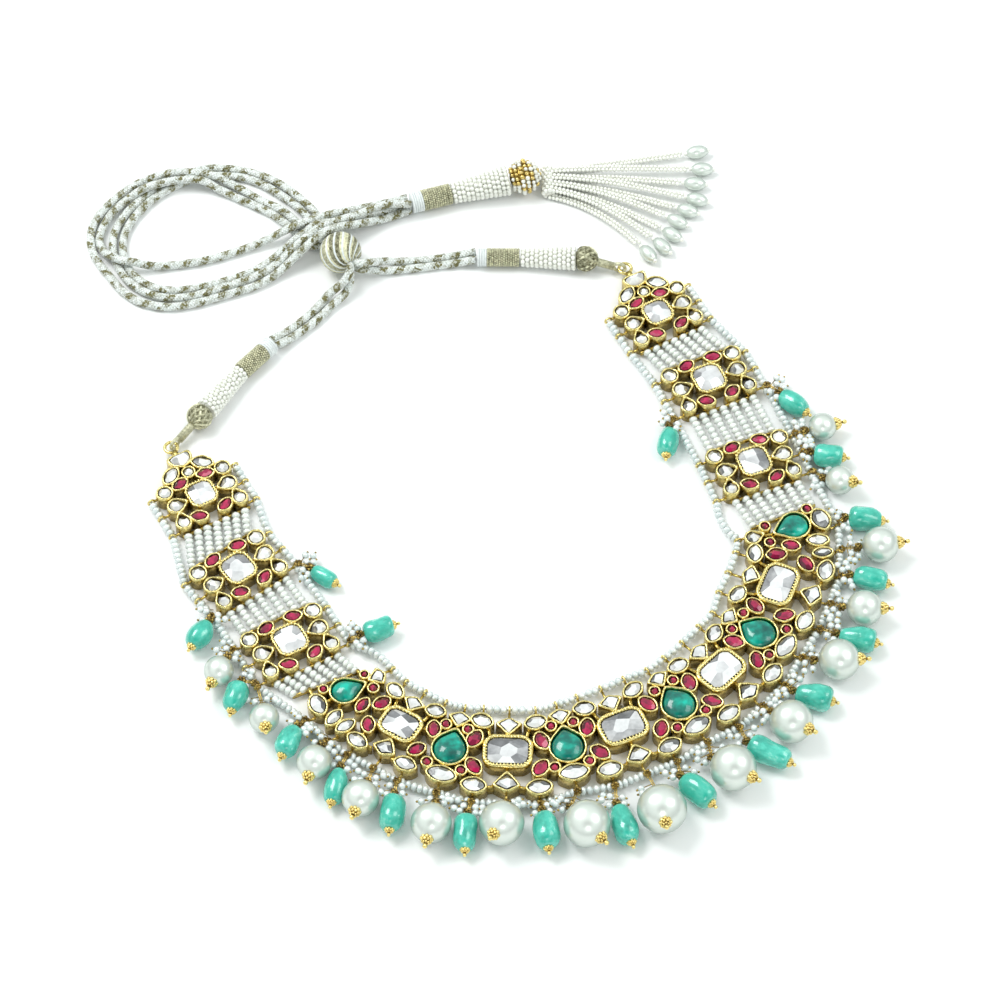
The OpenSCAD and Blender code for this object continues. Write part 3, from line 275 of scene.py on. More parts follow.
# Fringe beads: x, y, length, diameter and turn in degrees.
BEAD_DROPS = [
    [-87.6, -5.4, 8.0, 6.7, 217], [-86.2, -26.6, 8.1, 6.3, 232], [-78.9, -44.4, 8.6, 6.6, 223],
    [-73.1, -60.9, 9.4, 5.8, 234], [-63.5, -74.2, 9.6, 7.2, 240], [-48.7, -86.9, 9.6, 6.6, 243],
    [-30.4, -94.6, 9.8, 7.4, 254], [-11.5, -100.8, 10.6, 6.8, 264], [9.2, -99.6, 10.0, 7.6, 289],
    [30.6, -97, 11.2, 7.4, 306], [48.3, -86.6, 9.4, 7.2, 318], [66.3, -75.4, 9.4, 6.8, 320],
    [77.4, -60.5, 8.8, 6.6, 320], [84.6, -43.1, 8.6, 6.6, 330], [84.8, -21, 7.6, 6.9, 325],
    [84, -1.9, 8.4, 6.1, 292], [-51.4, -1.4, 7, 5, 300], [-45.1, -22.7, 7.8, 6.8, 355],
    [48, 0.4, 8.2, 6, 240]]

# The neck's thread work: x, y and z of each joint.
LEFT_CAP_AT = [-62.2, 57.9, 3.6]
LEFT_SLEEVE_AT = [-46.4, 67.6, 2.7]
LEFT_WRAP_AT = [-35.4, 72.7, 2.7]
RIGHT_CAP_AT = [53.2, 63.9, 3.6]
RIGHT_SLEEVE_AT = [37.4, 72.1, 2.7]
RIGHT_WRAP_AT = [26.6, 77, 2.7]
TASSEL_WRAP_AT = [17.4, 101, 3.1]
TASSEL_SLEEVE_AT = [29, 99.6, 3.1]
TASSEL_BALL_AT = [49, 95.6, 5]
SLIDER_AT = [-7.4, 91.4, 5.75]
SLIDER_IN = [-5.8, 85.4, 5.4]
SLIDER_OUT = [-8.4, 97.4, 3.6]
TASSEL_TIPS = [[97.3, 86], [96, 80], [92, 76.2], [90.2, 71], [86.2, 68.6],
               [82, 66.4], [78.8, 62.8], [74.6, 60.4], [70, 59.6]]

# The cords' routes, from the wrap through the slider to the tassel: x, y, z.
LEFT_A = [[-34.4, 71.9, 2.6], [-29, 73.4, 1.4], [-21, 76.2, 1.2], [-15, 79.2, 1.2],
          [-9.9, 81.2, 2.4], [-7.1, 85.8, 4.1], [-8.3, 91.5, 3.3], [-9.6, 97.5, 2.4],
          [-12.8, 99.9, 1.4], [-14.4, 103, 1.2], [-15.4, 108, 1.2], [-18.2, 114.4, 1.2],
          [-21.7, 119.4, 1.2],
          [-25.5, 124.4, 1.2], [-28.6, 128, 1.9], [-32, 131.4, 3.5], [-37, 133.8, 3.6],
          [-42, 134.9, 3.6], [-47.5, 135.2, 3.5], [-53, 134.8, 1.6], [-58.4, 132.4, 1.2],
          [-62.4, 128.8, 1.2], [-64.9, 125, 1.2], [-65.2, 121, 1.6], [-64.6, 118, 3.2],
          [-62.4, 114.8, 3.7], [-59, 112.6, 3.4], [-54.5, 110.6, 1.8], [-48, 108.7, 1.2],
          [-40, 107, 1.2], [-31, 106.4, 1.2], [-23, 106.2, 2], [-15, 106.4, 3.6], [-6, 106.2, 3.8],
          [2, 105, 3.6], [10, 103.6, 3.6], [17, 102.2, 4.4]]
LEFT_B = [[-35, 74.1, 2.6], [-29, 75.9, 1.4], [-21, 79, 1.2], [-15, 82, 2.2], [-9.6, 82.6, 5.5],
          [-7.1, 85.8, 6.5], [-8.3, 91.5, 5.7], [-9.6, 97.5, 4.8], [-10.5, 100.2, 3.6],
          [-11.6, 103.2, 1.4], [-12.8, 107.4, 1.2], [-14, 111, 1.6], [-15.9, 114.8, 1.9],
          [-19, 119.6, 1.2], [-22, 124.6, 1.2], [-25.4, 129, 2], [-28.8, 132, 3.6],
          [-33.4, 134.8, 3.7], [-38, 137, 3.7], [-43, 138.8, 2], [-48, 139.2, 1.2],
          [-53.4, 137.6, 1.2], [-60, 134.4, 1.2], [-65, 130, 1.2], [-67.5, 124.4, 1.2],
          [-67.8, 118.6, 1.2], [-66.6, 112.4, 1.2], [-65.4, 107, 1.2], [-62.4, 101.4, 1.2],
          [-56.4, 96.8, 1.2], [-49, 94.8, 1.2], [-40, 94, 1.2], [-31, 93.6, 1.2], [-24, 94.9, 1.9],
          [-17, 96.9, 4.6], [-8, 98.9, 7.1], [2, 99.5, 4], [10, 99.8, 1.9], [17, 99.8, 1.8]]
RIGHT_A = [[26, 76.4, 2.6], [19, 79, 1.2], [10, 81.5, 1.2], [3, 83.6, 1.4], [-1.4, 84.8, 2.8],
           [-4.7, 85.8, 4.1], [-5.9, 91.5, 3.3], [-7.2, 97.5, 2.4], [-6, 99.8, 1.2],
           [-6.6, 103, 1.2], [-7.2, 107.4, 1.2], [-7.4, 111, 1.2], [-8.7, 115, 1.2],
           [-10.5, 119.6, 1.2], [-13, 124.4, 1.2], [-17.2, 129.4, 1.2], [-22.4, 133.4, 1.2],
           [-28.2, 136.2, 1.2], [-34, 137, 1.2], [-40, 136.4, 1.2], [-47, 134.6, 1.2],
           [-54.4, 131, 1.2], [-60, 126, 1.2], [-62.8, 120, 1.2], [-63.4, 114, 1.2],
           [-62.4, 108.4, 1.2], [-59.4, 103.2, 1.2], [-55, 99.5, 1.2], [-49, 97.3, 1.3],
           [-40, 96.2, 1.8], [-31, 96, 1.8], [-24, 97.4, 2], [-17, 99.6, 4.2], [-12.5, 100.5, 5.8],
           [-8, 101.4, 6.4], [2, 102, 5], [10, 101.4, 6], [17, 99.8, 4.4]]
RIGHT_B = [[27.1, 78.8, 2.6], [19, 81.5, 1.2], [10, 84.1, 1.2], [3.6, 85.8, 2.6], [-1, 85.4, 5.2],
           [-4.7, 85.8, 6.5], [-5.9, 91.5, 5.7], [-7.2, 97.5, 4.8], [-8, 100.2, 3.5],
           [-9.2, 103, 1.2], [-9.7, 107, 1.2], [-10, 110.6, 1.3], [-11.4, 115, 1.2],
           [-13.6, 119.6, 1.2], [-16.2, 124.2, 1.2], [-19.6, 128.4, 1.2], [-24, 131.4, 1.2],
           [-29, 133.6, 1.2], [-34.6, 134.6, 1.2], [-40.6, 134, 1.2], [-47, 132.2, 1.2],
           [-53, 128.8, 1.2], [-57.8, 124.2, 1.2], [-60.4, 118.6, 1.2], [-61, 113, 1.2],
           [-59.7, 108, 1.2], [-56.8, 104, 1.2], [-52.4, 101, 1.2], [-47, 99.5, 1.2],
           [-40, 98.5, 1.2], [-31, 98.3, 1.2], [-24, 99.9, 1.3], [-17, 102, 3.1],
           [-12.6, 102.9, 4.2], [-8, 103.8, 4.5], [2, 101.6, 2], [10, 102.2, 1.6],
           [17, 102.2, 1.8]]


def emerald_stones(i):
    """The stones of an emerald unit."""
    return LEFT_END_UNIT if i == 0 else RIGHT_END_UNIT if i == 5 else EMERALD_UNIT


def crystal_stones(i):
    """The stones of a crystal unit."""
    return FIRST_CRYSTAL_UNIT if i == 0 else CRYSTAL_UNIT


def plaque_stones(i):
    """The stones of a plaque. The first on each side has the half-moon."""
    return END_PLAQUE if i % 3 == 0 else PLAQUE


def place(lay, p):
    """A unit's own point on the table."""
    a = math.radians(lay[2])
    return (lay[0] + p[0] * math.cos(a) - p[1] * math.sin(a),
            lay[1] + p[0] * math.sin(a) + p[1] * math.cos(a))


def edge_loops(side):
    """The string's loops along the outer (1) or inner (-1) edge, from left to right."""
    rows = range(len(PLAQUE_ROWS))
    loops = [place(PLAQUE_LAY[i], plaque_loop(i, -side, k)) for i in range(3) for k in rows]
    for i in range(6):
        ends = {0: LEFT_END_OUTER if side > 0 else LEFT_END_INNER,
                5: RIGHT_END_OUTER if side > 0 else RIGHT_END_INNER}
        usual = EMERALD_OUTER if side > 0 else EMERALD_INNER
        loops += [place(EMERALD_LAY[i], p) for p in ends.get(i, usual)]
        if i < 5:
            loops += [place(CRYSTAL_LAY[i], p) for p in crystal_loops(i, side)]
    return loops + [place(PLAQUE_LAY[i], plaque_loop(i, side, k))
                    for i in (5, 4, 3) for k in reversed(rows)]


def crystal_loops(i, side):
    """A crystal unit's loops along one edge."""
    if side > 0:
        return FIRST_OUTER if i == 0 else CRYSTAL_OUTER
    return FIRST_INNER if i == 0 else CRYSTAL_INNER


def plaque_loop(i, side, k):
    """One of a plaque's side loops."""
    return (side * LOOP_REACH * (END_NARROW if i % 3 == 0 else 1), PLAQUE_ROWS[k])


# Outlines of the stones.
ARC_STEPS = 24


def arc(centre, radius, start, end):
    """Points of a circle's arc, in degrees, both ends included."""
    angles = [math.radians(start + (end - start) * k / ARC_STEPS)
              for k in range(ARC_STEPS + 1)]
    return [(centre[0] + radius * math.cos(a), centre[1] + radius * math.sin(a))
            for a in angles]


def leaf_radius(w, h):
    """The radius of the two arcs that bound a leaf."""
    return (w * w + h * h) / (4 * h)


FLAT_SHARE = 0.17    # a cushion's cut corner, as a share of its shorter side
GROWN_CORNER = 0.586    # and how it grows with the outline: 2 less the root of 2


def raw_outline(s, g):
    """A stone's outline grown by g, anticlockwise, in the stone's own frame."""
    kind, w, h = s[0], s[3], s[4]
    if kind == "round":
        return arc((0, 0), w / 2 + g, 0, 355)
    if kind == "leaf":
        radius = leaf_radius(w, h)
        off = radius - h / 2
        half = math.degrees(math.acos(off / (radius + g)))
        return (arc((0, -off), radius + g, 90 - half, 90 + half)[:-1]
                + arc((0, off), radius + g, 270 - half, 270 + half)[:-1])
    if kind == "drop":
        radius = w / 2 + g
        a = math.degrees(math.acos(w / 2 / h))
        return arc((0, 0), radius, 90 + a, 450 - a) + [(0, h * radius / (w / 2))]
    if kind == "cushion":
        x, y, c = w / 2 + g, h / 2 + g, FLAT_SHARE * min(w, h) + GROWN_CORNER * g
        return [(x, y - c), (x - c, y), (c - x, y), (-x, y - c), (-x, c - y), (c - x, -y),
                (x - c, -y), (x, c - y)]
    if kind == "kite":
        side, up, down = w / 2, h / 3, 2 * h / 3
        top, low = math.hypot(side, up), math.hypot(side, down)
        rho = side * h / (top + low)
        mid, k = up - rho * top / side, (rho + g) / rho
        return [(x * k, mid + (y - mid) * k)
                for x, y in ((side, 0), (0, up), (-side, 0), (0, -down))]
    radius = leaf_radius(w, 2 * h)
    centre = radius - h
    a = math.degrees(math.asin((g - centre) / (radius + g)))
    return arc((0, centre), radius + g, 180 - a, 360 + a)


def ring_of(s, g, count=28, soft=1):
    """The outline as evenly spaced, slightly softened points in the unit's frame."""
    points = np.array(raw_outline(s, g))
    closed = np.vstack([points, points[:1]])
    run = np.concatenate([[0], np.cumsum(np.linalg.norm(np.diff(closed, axis=0), axis=1))])
    at = np.arange(count) / count * run[-1]
    ring = np.stack([np.interp(at, run, closed[:, 0]), np.interp(at, run, closed[:, 1])], 1)
    turn = np.argmin(np.abs(np.arctan2(ring[:, 1], ring[:, 0]) - 0.01))
    ring = np.roll(ring, -turn, axis=0)
    for _ in range(soft):
        ring = 0.5 * ring + 0.25 * (np.roll(ring, 1, axis=0) + np.roll(ring, -1, axis=0))
    a = math.radians(s[5])
    spin = np.array([[math.cos(a), math.sin(a)], [-math.sin(a), math.cos(a)]])
    return ring @ spin + np.array([s[1], s[2]])


def rim_of(s):
    """The width of gold round a stone."""
    return CRYSTAL_RIM if s[0] == "cushion" and s[3] > 8 else RIM_W


# Meshes gathered from small shapes.
class Shape:
    """A small mesh as arrays: points, faces, a slot per face and a wear-and-shade value per point.
    The operators may order a mesh otherwise on another run, so its points and faces are
    sorted, the points by their places to so many decimals of a millimetre."""

    DECIMALS = 4

    def __init__(self, bm, slot=0, wear=None, smooth=True, painted_facet_shades=None):
        bmesh.ops.recalc_face_normals(bm, faces=bm.faces)
        bm.verts.index_update()
        points = np.array([v.co for v in bm.verts]).reshape(-1, 3)
        by_place = np.lexsort(np.round(points, self.DECIMALS).T)
        rank = np.argsort(by_place)
        faces = [[int(rank[v.index]) for v in f.verts] for f in bm.faces]
        by_corner = sorted(range(len(faces)), key=lambda k: sorted(faces[k]))
        slots = [f.material_index or slot for f in bm.faces]
        shades = [painted_facet_shades(f) for f in bm.faces] if painted_facet_shades else None
        layer = bm.verts.layers.float.get("wear")
        if layer:
            self.wear = np.array([v[layer] for v in bm.verts])[by_place]
        else:
            self.wear = np.full(len(points), 0.6 if wear is None else wear)
        self.points = points[by_place]
        self.faces = [faces[k] for k in by_corner]
        self.slots = [slots[k] for k in by_corner]
        self.painted_facet_shades = [shades[k] for k in by_corner] if shades else None
        self.smooth = smooth
        bm.free()


class Joined:
    """Copies of shapes joined into one mesh."""

    def __init__(self):
        self.points, self.faces, self.slots, self.smooth = [], [], [], []
        self.wear, self.tone, self.own, self.count = [], [], [], 0

    def add(self, shape, matrix=None, tone=0.5, wear=None):
        matrix = np.array(matrix if matrix is not None else Matrix.Identity(4))
        self.points.append(shape.points @ matrix[:3, :3].T + matrix[:3, 3])
        n = self.count
        self.faces += [[i + n for i in f] for f in shape.faces]
        self.slots += shape.slots
        self.smooth += [shape.smooth] * len(shape.faces)
        self.wear.append(shape.wear if wear is None else np.full(len(shape.points), wear))
        self.tone.append(shape.painted_facet_shades or [tone] * len(shape.faces))
        self.own.append(shape.points)
        self.count += len(shape.points)

    def piece(self, name, materials, nodes, slot):
        """Makes the mesh object, in metres, and hides the model's parts for the nodes it stands
        for.
        """
        mesh = bpy.data.meshes.new(name)
        mesh.from_pydata((np.vstack(self.points) * MM).tolist(), [], self.faces)
        for key, domain, rows in (("wear", "POINT", self.wear), ("tone", "FACE", self.tone)):
            mesh.attributes.new(key, "FLOAT", domain).data.foreach_set(
                "value", np.concatenate(rows).astype(np.float32))
        mesh.attributes.new("own", "FLOAT_VECTOR", "POINT").data.foreach_set(
            "vector", np.vstack(self.own).astype(np.float32).ravel())
        for material in materials:
            mesh.materials.append(material)
        mesh.polygons.foreach_set("material_index", self.slots)
        mesh.polygons.foreach_set("use_smooth", self.smooth)
        mesh.update()
        return finish_piece(name, mesh, nodes)


def finish_piece(name, mesh, nodes):
    """Links a mesh, hangs it on the root body and hides the model's parts that it stands for."""
    piece = bpy.data.objects.new(name, mesh)
    bpy.context.scene.collection.objects.link(piece)
    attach(piece, "root")
    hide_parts(*nodes)
    return piece


# Templates.
def ball(radius, around=9, down=6, squash=1.0, slot=0, wear=0.6):
    """A small ball whose poles lie on its own X axis, as a drilled pearl's holes do."""
    bm = bmesh.new()
    bmesh.ops.create_uvsphere(bm, u_segments=around, v_segments=down, radius=radius)
    bmesh.ops.transform(bm, verts=bm.verts,
                        matrix=Matrix.Rotation(math.radians(90), 4, "Y"))
    bmesh.ops.scale(bm, verts=bm.verts, vec=(squash, 1, 1))
    return Shape(bm, slot, wear)


def lathe(profile, around=16, slot=0, wear=0.6):
    """Turns points of (along, radius) about the X axis. Zero radii close the ends."""
    bm = bmesh.new()
    points = [bm.verts.new((a, r, 0)) for a, r in profile]
    edges = [bm.edges.new(pair) for pair in zip(points, points[1:])]
    bmesh.ops.spin(bm, geom=points + edges, cent=(0, 0, 0), axis=(1, 0, 0),
                   angle=math.tau, steps=around, use_merge=True, use_duplicate=False)
    bmesh.ops.remove_doubles(bm, verts=bm.verts, dist=1e-5)
    return Shape(bm, slot, wear)


def ring(radius, wire, around=14, sides=6, slot=0, wear=0.75):
    """A wire ring about the X axis."""
    bm = bmesh.new()
    made = bmesh.ops.create_circle(bm, segments=sides, radius=wire,
                                   matrix=Matrix.Translation((0, radius, 0)))
    bmesh.ops.spin(bm, geom=made["verts"] + bm.edges[:], cent=(0, 0, 0), axis=(1, 0, 0),
                   angle=math.tau, steps=around, use_merge=True, use_duplicate=False)
    bmesh.ops.remove_doubles(bm, verts=bm.verts, dist=1e-5)
    return Shape(bm, slot, wear)


def box(size, bevel, wear):
    """A bar with rounded edges, centred."""
    bm = bmesh.new()
    bmesh.ops.create_cube(bm, size=1)
    bmesh.ops.scale(bm, verts=bm.verts, vec=size)
    bmesh.ops.bevel(bm, geom=bm.edges, offset=bevel, affect="EDGES", segments=1, profile=0.5,
                    material=-1)
    return Shape(bm, 0, wear)


def frame_at(point, along):
    """A matrix whose X runs along a direction, in millimetres."""
    x = Vector(along).normalized()
    y = Vector((0, 0, 1)).cross(x)
    y = y.normalized() if y.length > 1e-6 else Vector((0, 1, 0))
    z = x.cross(y)
    turn = Matrix((x, y, z)).transposed().to_4x4()
    return Matrix.Translation(point) @ turn


def lay_matrix(lay):
    """A unit's place on the table."""
    return (Matrix.Translation((lay[0], lay[1], 0))
            @ Matrix.Rotation(math.radians(lay[2]), 4, "Z"))


def rod_between(kit, p, q, radius, wear=0.6, around=8):
    """A straight wire between two points."""
    p, q = Vector(p), Vector(q)
    length = (q - p).length
    shape = lathe([(0, 0), (0, radius), (length, radius), (length, 0)], around, 0, wear)
    kit.add(shape, frame_at(p, q - p))


def smooth_path(points, steps=4):
    """Points on a smooth curve through the given ones."""
    p = [Vector(v) for v in points]
    p = [2 * p[0] - p[1]] + p + [2 * p[-1] - p[-2]]
    out = []
    for i in range(1, len(p) - 2):
        for k in range(steps):
            t = k / steps
            out.append(0.5 * ((2 * p[i]) + (p[i + 1] - p[i - 1]) * t
                              + (2 * p[i - 1] - 5 * p[i] + 4 * p[i + 1] - p[i + 2]) * t * t
                              + (3 * p[i] - p[i - 1] - 3 * p[i + 1] + p[i + 2]) * t ** 3))
    return out + [p[-2]]


def bent_grid(rings):
    """A grid bent through rings of points, its seam merged and its ends filled. Gives the
    mesh and, for each corner, its row and its share of the way round in a UV layer."""
    rings = np.asarray(rings, dtype=float)
    rows, count = rings.shape[:2]
    bm = bmesh.new()
    layer = bm.loops.layers.uv.new("UVMap")
    row_layer = bm.verts.layers.int.new("row")
    bmesh.ops.create_grid(bm, x_segments=rows - 1, y_segments=count, size=1)
    spots = {v: (round((v.co.x + 1) / 2 * (rows - 1)), round((v.co.y + 1) / 2 * count))
             for v in bm.verts}
    for f in bm.faces:
        for corner in f.loops:
            i, j = spots[corner.vert]
            corner[layer].uv = (j / count, i)
    for v, (i, j) in spots.items():
        v.co = rings[i][j % count]
        v[row_layer] = i
    bmesh.ops.remove_doubles(bm, verts=bm.verts, dist=1e-5)
    bmesh.ops.holes_fill(bm, edges=[e for e in bm.edges if e.is_boundary], sides=0)
    bmesh.ops.recalc_face_normals(bm, faces=bm.faces)
    return bm


def lofted(rings, wear_and_shade_rows=None, slot=0):
    """A closed skin through rings of points, with a wear-and-shade value for each ring."""
    bm = bent_grid(rings)
    if wear_and_shade_rows:
        row, wear = bm.verts.layers.int["row"], bm.verts.layers.float.new("wear")
        for v in bm.verts:
            v[wear] = wear_and_shade_rows[v[row]]
    return Shape(bm, slot)


def tube_rings(path, radius, around):
    """Rings of points round a path."""
    rings = []
    for i, point in enumerate(path):
        along = (path[min(i + 1, len(path) - 1)] - path[max(i - 1, 0)]).normalized()
        side = Vector((-along.y, along.x, 0)).normalized()
        up = along.cross(side)
        rings.append([point + radius * (math.cos(a) * side + math.sin(a) * up)
                      for a in (math.tau * j / around for j in range(around))])
    return rings


def tube_mesh(path, radius, around, pitch):
    """A round tube along a path in metres, with UVs: around, and along in pitches."""
    bm = bent_grid(tube_rings(path, radius, around))
    length = np.concatenate([[0], np.cumsum([(b - a).length for a, b in zip(path, path[1:])])])
    layer = bm.loops.layers.uv["UVMap"]
    for f in bm.faces:
        for corner in f.loops:
            u, row = corner[layer].uv
            corner[layer].uv = (u, length[round(row)] / pitch)
    bmesh.ops.scale(bm, verts=bm.verts, vec=(MM, MM, MM))
    mesh = bpy.data.meshes.new("tube")
    bm.to_mesh(mesh)
    bm.free()
    mesh.shade_smooth()
    return mesh


# Materials.
class Tree:
    """A node tree, written as short calls."""

    def __init__(self, tree):
        self.tree = tree

    def add(self, kind, inputs=None, **settings):
        node = self.tree.nodes.new(kind)
        for key, value in settings.items():
            setattr(node, key, value)
        for key, value in (inputs or {}).items():
            if isinstance(value, bpy.types.NodeSocket):
                self.tree.links.new(value, node.inputs[key])
            else:
                node.inputs[key].default_value = value
        return node

    def math(self, operation, a, b=0.0):
        return self.add("ShaderNodeMath", {0: a, 1: b}, operation=operation).outputs[0]

    def ramp(self, value, stops):
        node = self.add("ShaderNodeValToRGB", {"Fac": value})
        ramp = node.color_ramp
        ramp.elements[0].position, ramp.elements[0].color = stops[0][0], (*stops[0][1], 1)
        ramp.elements[1].position, ramp.elements[1].color = stops[-1][0], (*stops[-1][1], 1)
        for position, colour in stops[1:-1]:
            ramp.elements.new(position).color = (*colour, 1)
        return node.outputs["Color"]

    def mix(self, factor, a, b, blend="MIX"):
        node = self.add("ShaderNodeMix", {"Factor": factor}, data_type="RGBA", blend_type=blend)
        for socket, value in (("A", a), ("B", b)):
            target = [s for s in node.inputs if s.name == socket and s.type == "RGBA"][0]
            if isinstance(value, bpy.types.NodeSocket):
                self.tree.links.new(value, target)
            else:
                target.default_value = (*value, 1)
        return [s for s in node.outputs if s.type == "RGBA"][0]

    def attribute(self, name):
        return self.add("ShaderNodeAttribute", attribute_name=name)

    def group(self, tree, inputs):
        node = self.add("ShaderNodeGroup")
        node.node_tree = tree
        for key, value in inputs.items():
            if isinstance(value, bpy.types.NodeSocket):
                self.tree.links.new(value, node.inputs[key])
            else:
                node.inputs[key].default_value = value
        return node.outputs[0]


def new_group(name, inputs, output):
    tree = bpy.data.node_groups.new(name, "ShaderNodeTree")
    for key, kind in inputs:
        tree.interface.new_socket(key, in_out="INPUT", socket_type=kind)
    tree.interface.new_socket(output[0], in_out="OUTPUT", socket_type=output[1])
    return Tree(tree), tree.nodes.new("NodeGroupInput"), tree.nodes.new("NodeGroupOutput")


def mottling_group():
    """Soft patches from 0 to 1. Per metre is the noise's scale."""
    t, given, out = new_group("mottling", [("Place", "NodeSocketVector"),
                                           ("Per metre", "NodeSocketFloat"),
                                           ("Contrast", "NodeSocketFloat")],
                              ("Patches", "NodeSocketFloat"))
    noise_node = t.add("ShaderNodeTexNoise", {"Vector": given.outputs["Place"],
                                              "Scale": given.outputs["Per metre"],
                                              "Detail": 3.0, "Roughness": 0.6})
    centred = t.math("SUBTRACT", noise_node.outputs["Fac"], 0.5)
    spread = t.math("MULTIPLY_ADD", centred, given.outputs["Contrast"])
    spread.node.inputs[2].default_value = 0.5
    spread.node.use_clamp = True
    t.tree.links.new(spread, out.inputs[0])
    return t.tree


def grain_group():
    """A bumpy surface: noise as height, at a depth in metres."""
    t, given, out = new_group("surface_grain", [("Place", "NodeSocketVector"),
                                                ("Per metre", "NodeSocketFloat"),
                                                ("Depth", "NodeSocketFloat")],
                              ("Normal", "NodeSocketVector"))
    noise_node = t.add("ShaderNodeTexNoise", {"Vector": given.outputs["Place"],
                                              "Scale": given.outputs["Per metre"],
                                              "Detail": 2.0})
    bump = t.add("ShaderNodeBump", {"Height": noise_node.outputs["Fac"],
                                    "Distance": given.outputs["Depth"], "Strength": 1.0})
    t.tree.links.new(bump.outputs["Normal"], out.inputs[0])
    return t.tree


MOTTLING = mottling_group()
GRAIN = grain_group()


def new_material(name, **constants):
    """A material with a Principled shader. Constants are set on its own sockets."""
    material = bpy.data.materials.new(name)
    material.use_nodes = True
    tree = Tree(material.node_tree)
    shader = material.node_tree.nodes["Principled BSDF"]
    for key, value in constants.items():
        shader.inputs[key.replace("_", " ")].default_value = value
    place_node = tree.add("ShaderNodeTexCoord")
    return material, tree, shader, place_node.outputs["Object"]


def connect(tree, shader, **sockets):
    for key, socket in sockets.items():
        tree.tree.links.new(socket, shader.inputs[key.replace("_", " ")])


def gold_material(name, dark, brown, plain, pale, rough=0.3):
    """Cast gold, by its wear-and-shade value: pale where it is rubbed, brown patina in the
    hollows, and dark brown to near black as painted shade in the recesses round the stones.
    """
    material, t, shader, spot = new_material(name, Metallic=1.0)
    patches = t.group(MOTTLING, {"Place": spot, "Per metre": 900.0, "Contrast": 1.6})
    # Rubbed wear and painted shade together: low values, as in the recesses and on the bars and
    # ribbons, paint dark shade.
    worn_and_shaded = t.math("ADD", t.attribute("wear").outputs["Fac"],
                  t.math("MULTIPLY", t.math("SUBTRACT", patches, 0.5), 0.55))
    colour = t.ramp(worn_and_shaded, [(0.02, dark), (0.35, brown), (0.62, plain), (0.95, pale)])
    fine = t.group(MOTTLING, {"Place": spot, "Per metre": 3500.0, "Contrast": 2.0})
    roughness = t.math("ADD", rough - 0.07, t.math("MULTIPLY", fine, 0.16))
    connect(t, shader, Base_Color=colour, Roughness=roughness,
            Normal=t.group(GRAIN, {"Place": spot, "Per metre": 1300.0, "Depth": 0.00014}))
    return material


def pearl_material():
    """Fringe pearls: pale grey-green, painted darker grey-green towards the edges as shade, with a
    soft lustre, a little uneven.
    """
    material, t, shader, spot = new_material("pearl_lustre", Metallic=0.50,
                                             Coat_Weight=0.4, Coat_Roughness=0.16,
                                             Specular_IOR_Level=0.8)
    patches = t.group(MOTTLING, {"Place": spot, "Per metre": 110.0, "Contrast": 0.8})
    own = t.mix(patches, (0.77, 0.82, 0.76), (0.90, 0.94, 0.88))
    # Painted shade: the colour goes dark grey-green where the surface turns away from the view.
    rim = t.add("ShaderNodeLayerWeight", {"Blend": 0.45}).outputs["Facing"]
    colour = t.mix(t.math("MULTIPLY", rim, 0.85), own, (0.27, 0.35, 0.30))
    fine = t.group(MOTTLING, {"Place": spot, "Per metre": 1200.0, "Contrast": 1.5})
    connect(t, shader, Base_Color=colour,
            Roughness=t.math("ADD", 0.27, t.math("MULTIPLY", fine, 0.05)),
            Normal=t.group(GRAIN, {"Place": spot, "Per metre": 150.0, "Depth": 0.00002}))
    return material


def seed_pearl_material(name, low, high, hole, edge=0.5):
    """Seed pearls: each its own tone, painted darker towards the edges as shade, with a dark spot
    at each end painted as the shade in the drill hole.
    """
    material, t, shader, spot = new_material(name, Metallic=0.22, Coat_Weight=0.8,
                                             Coat_Roughness=0.08)
    shade = t.mix(t.attribute("tone").outputs["Fac"], low, high)
    # Painted shade: darker towards the edges, by the share edge.
    rim = t.add("ShaderNodeLayerWeight", {"Blend": 0.4}).outputs["Facing"]
    shade = t.mix(t.math("MULTIPLY", rim, edge), shade, tuple(0.55 * v for v in low))
    patches = t.group(MOTTLING, {"Place": spot, "Per metre": 700.0, "Contrast": 1.4})
    shade = t.mix(t.math("MULTIPLY", patches, 0.25), shade, high)
    # Painted shade in the drill holes, where the wear-and-shade value is 0.
    dark = t.attribute("wear").outputs["Fac"]
    connect(t, shader, Base_Color=t.mix(dark, hole, shade),
            Roughness=t.math("ADD", 0.26, t.math("MULTIPLY", patches, 0.2)),
            Normal=t.group(GRAIN, {"Place": spot, "Per metre": 1400.0, "Depth": 0.00012}))
    return material


def stone_material(name, stops, patch_size, contrast, rough, tone_and_shade_share=0.6, coat=1.0,
                   shine=0.7):
    """Foiled stones: each facet painted its own light and shade, standing in for what it reflects,
    and clouded inside.
    """
    material, t, shader, spot = new_material(name, Coat_Weight=coat, Coat_Roughness=0.03,
                                             Specular_IOR_Level=shine)
    patches = t.group(MOTTLING, {"Place": spot, "Per metre": patch_size, "Contrast": contrast})
    value = t.math("ADD", t.math("MULTIPLY", t.attribute("tone").outputs["Fac"], tone_and_shade_share),
                   t.math("MULTIPLY", patches, 1 - tone_and_shade_share))
    fine = t.group(MOTTLING, {"Place": spot, "Per metre": 2500.0, "Contrast": 1.5})
    connect(t, shader, Base_Color=t.ramp(value, stops),
            Roughness=t.math("ADD", rough, t.math("MULTIPLY", fine, 0.08)))
    return material


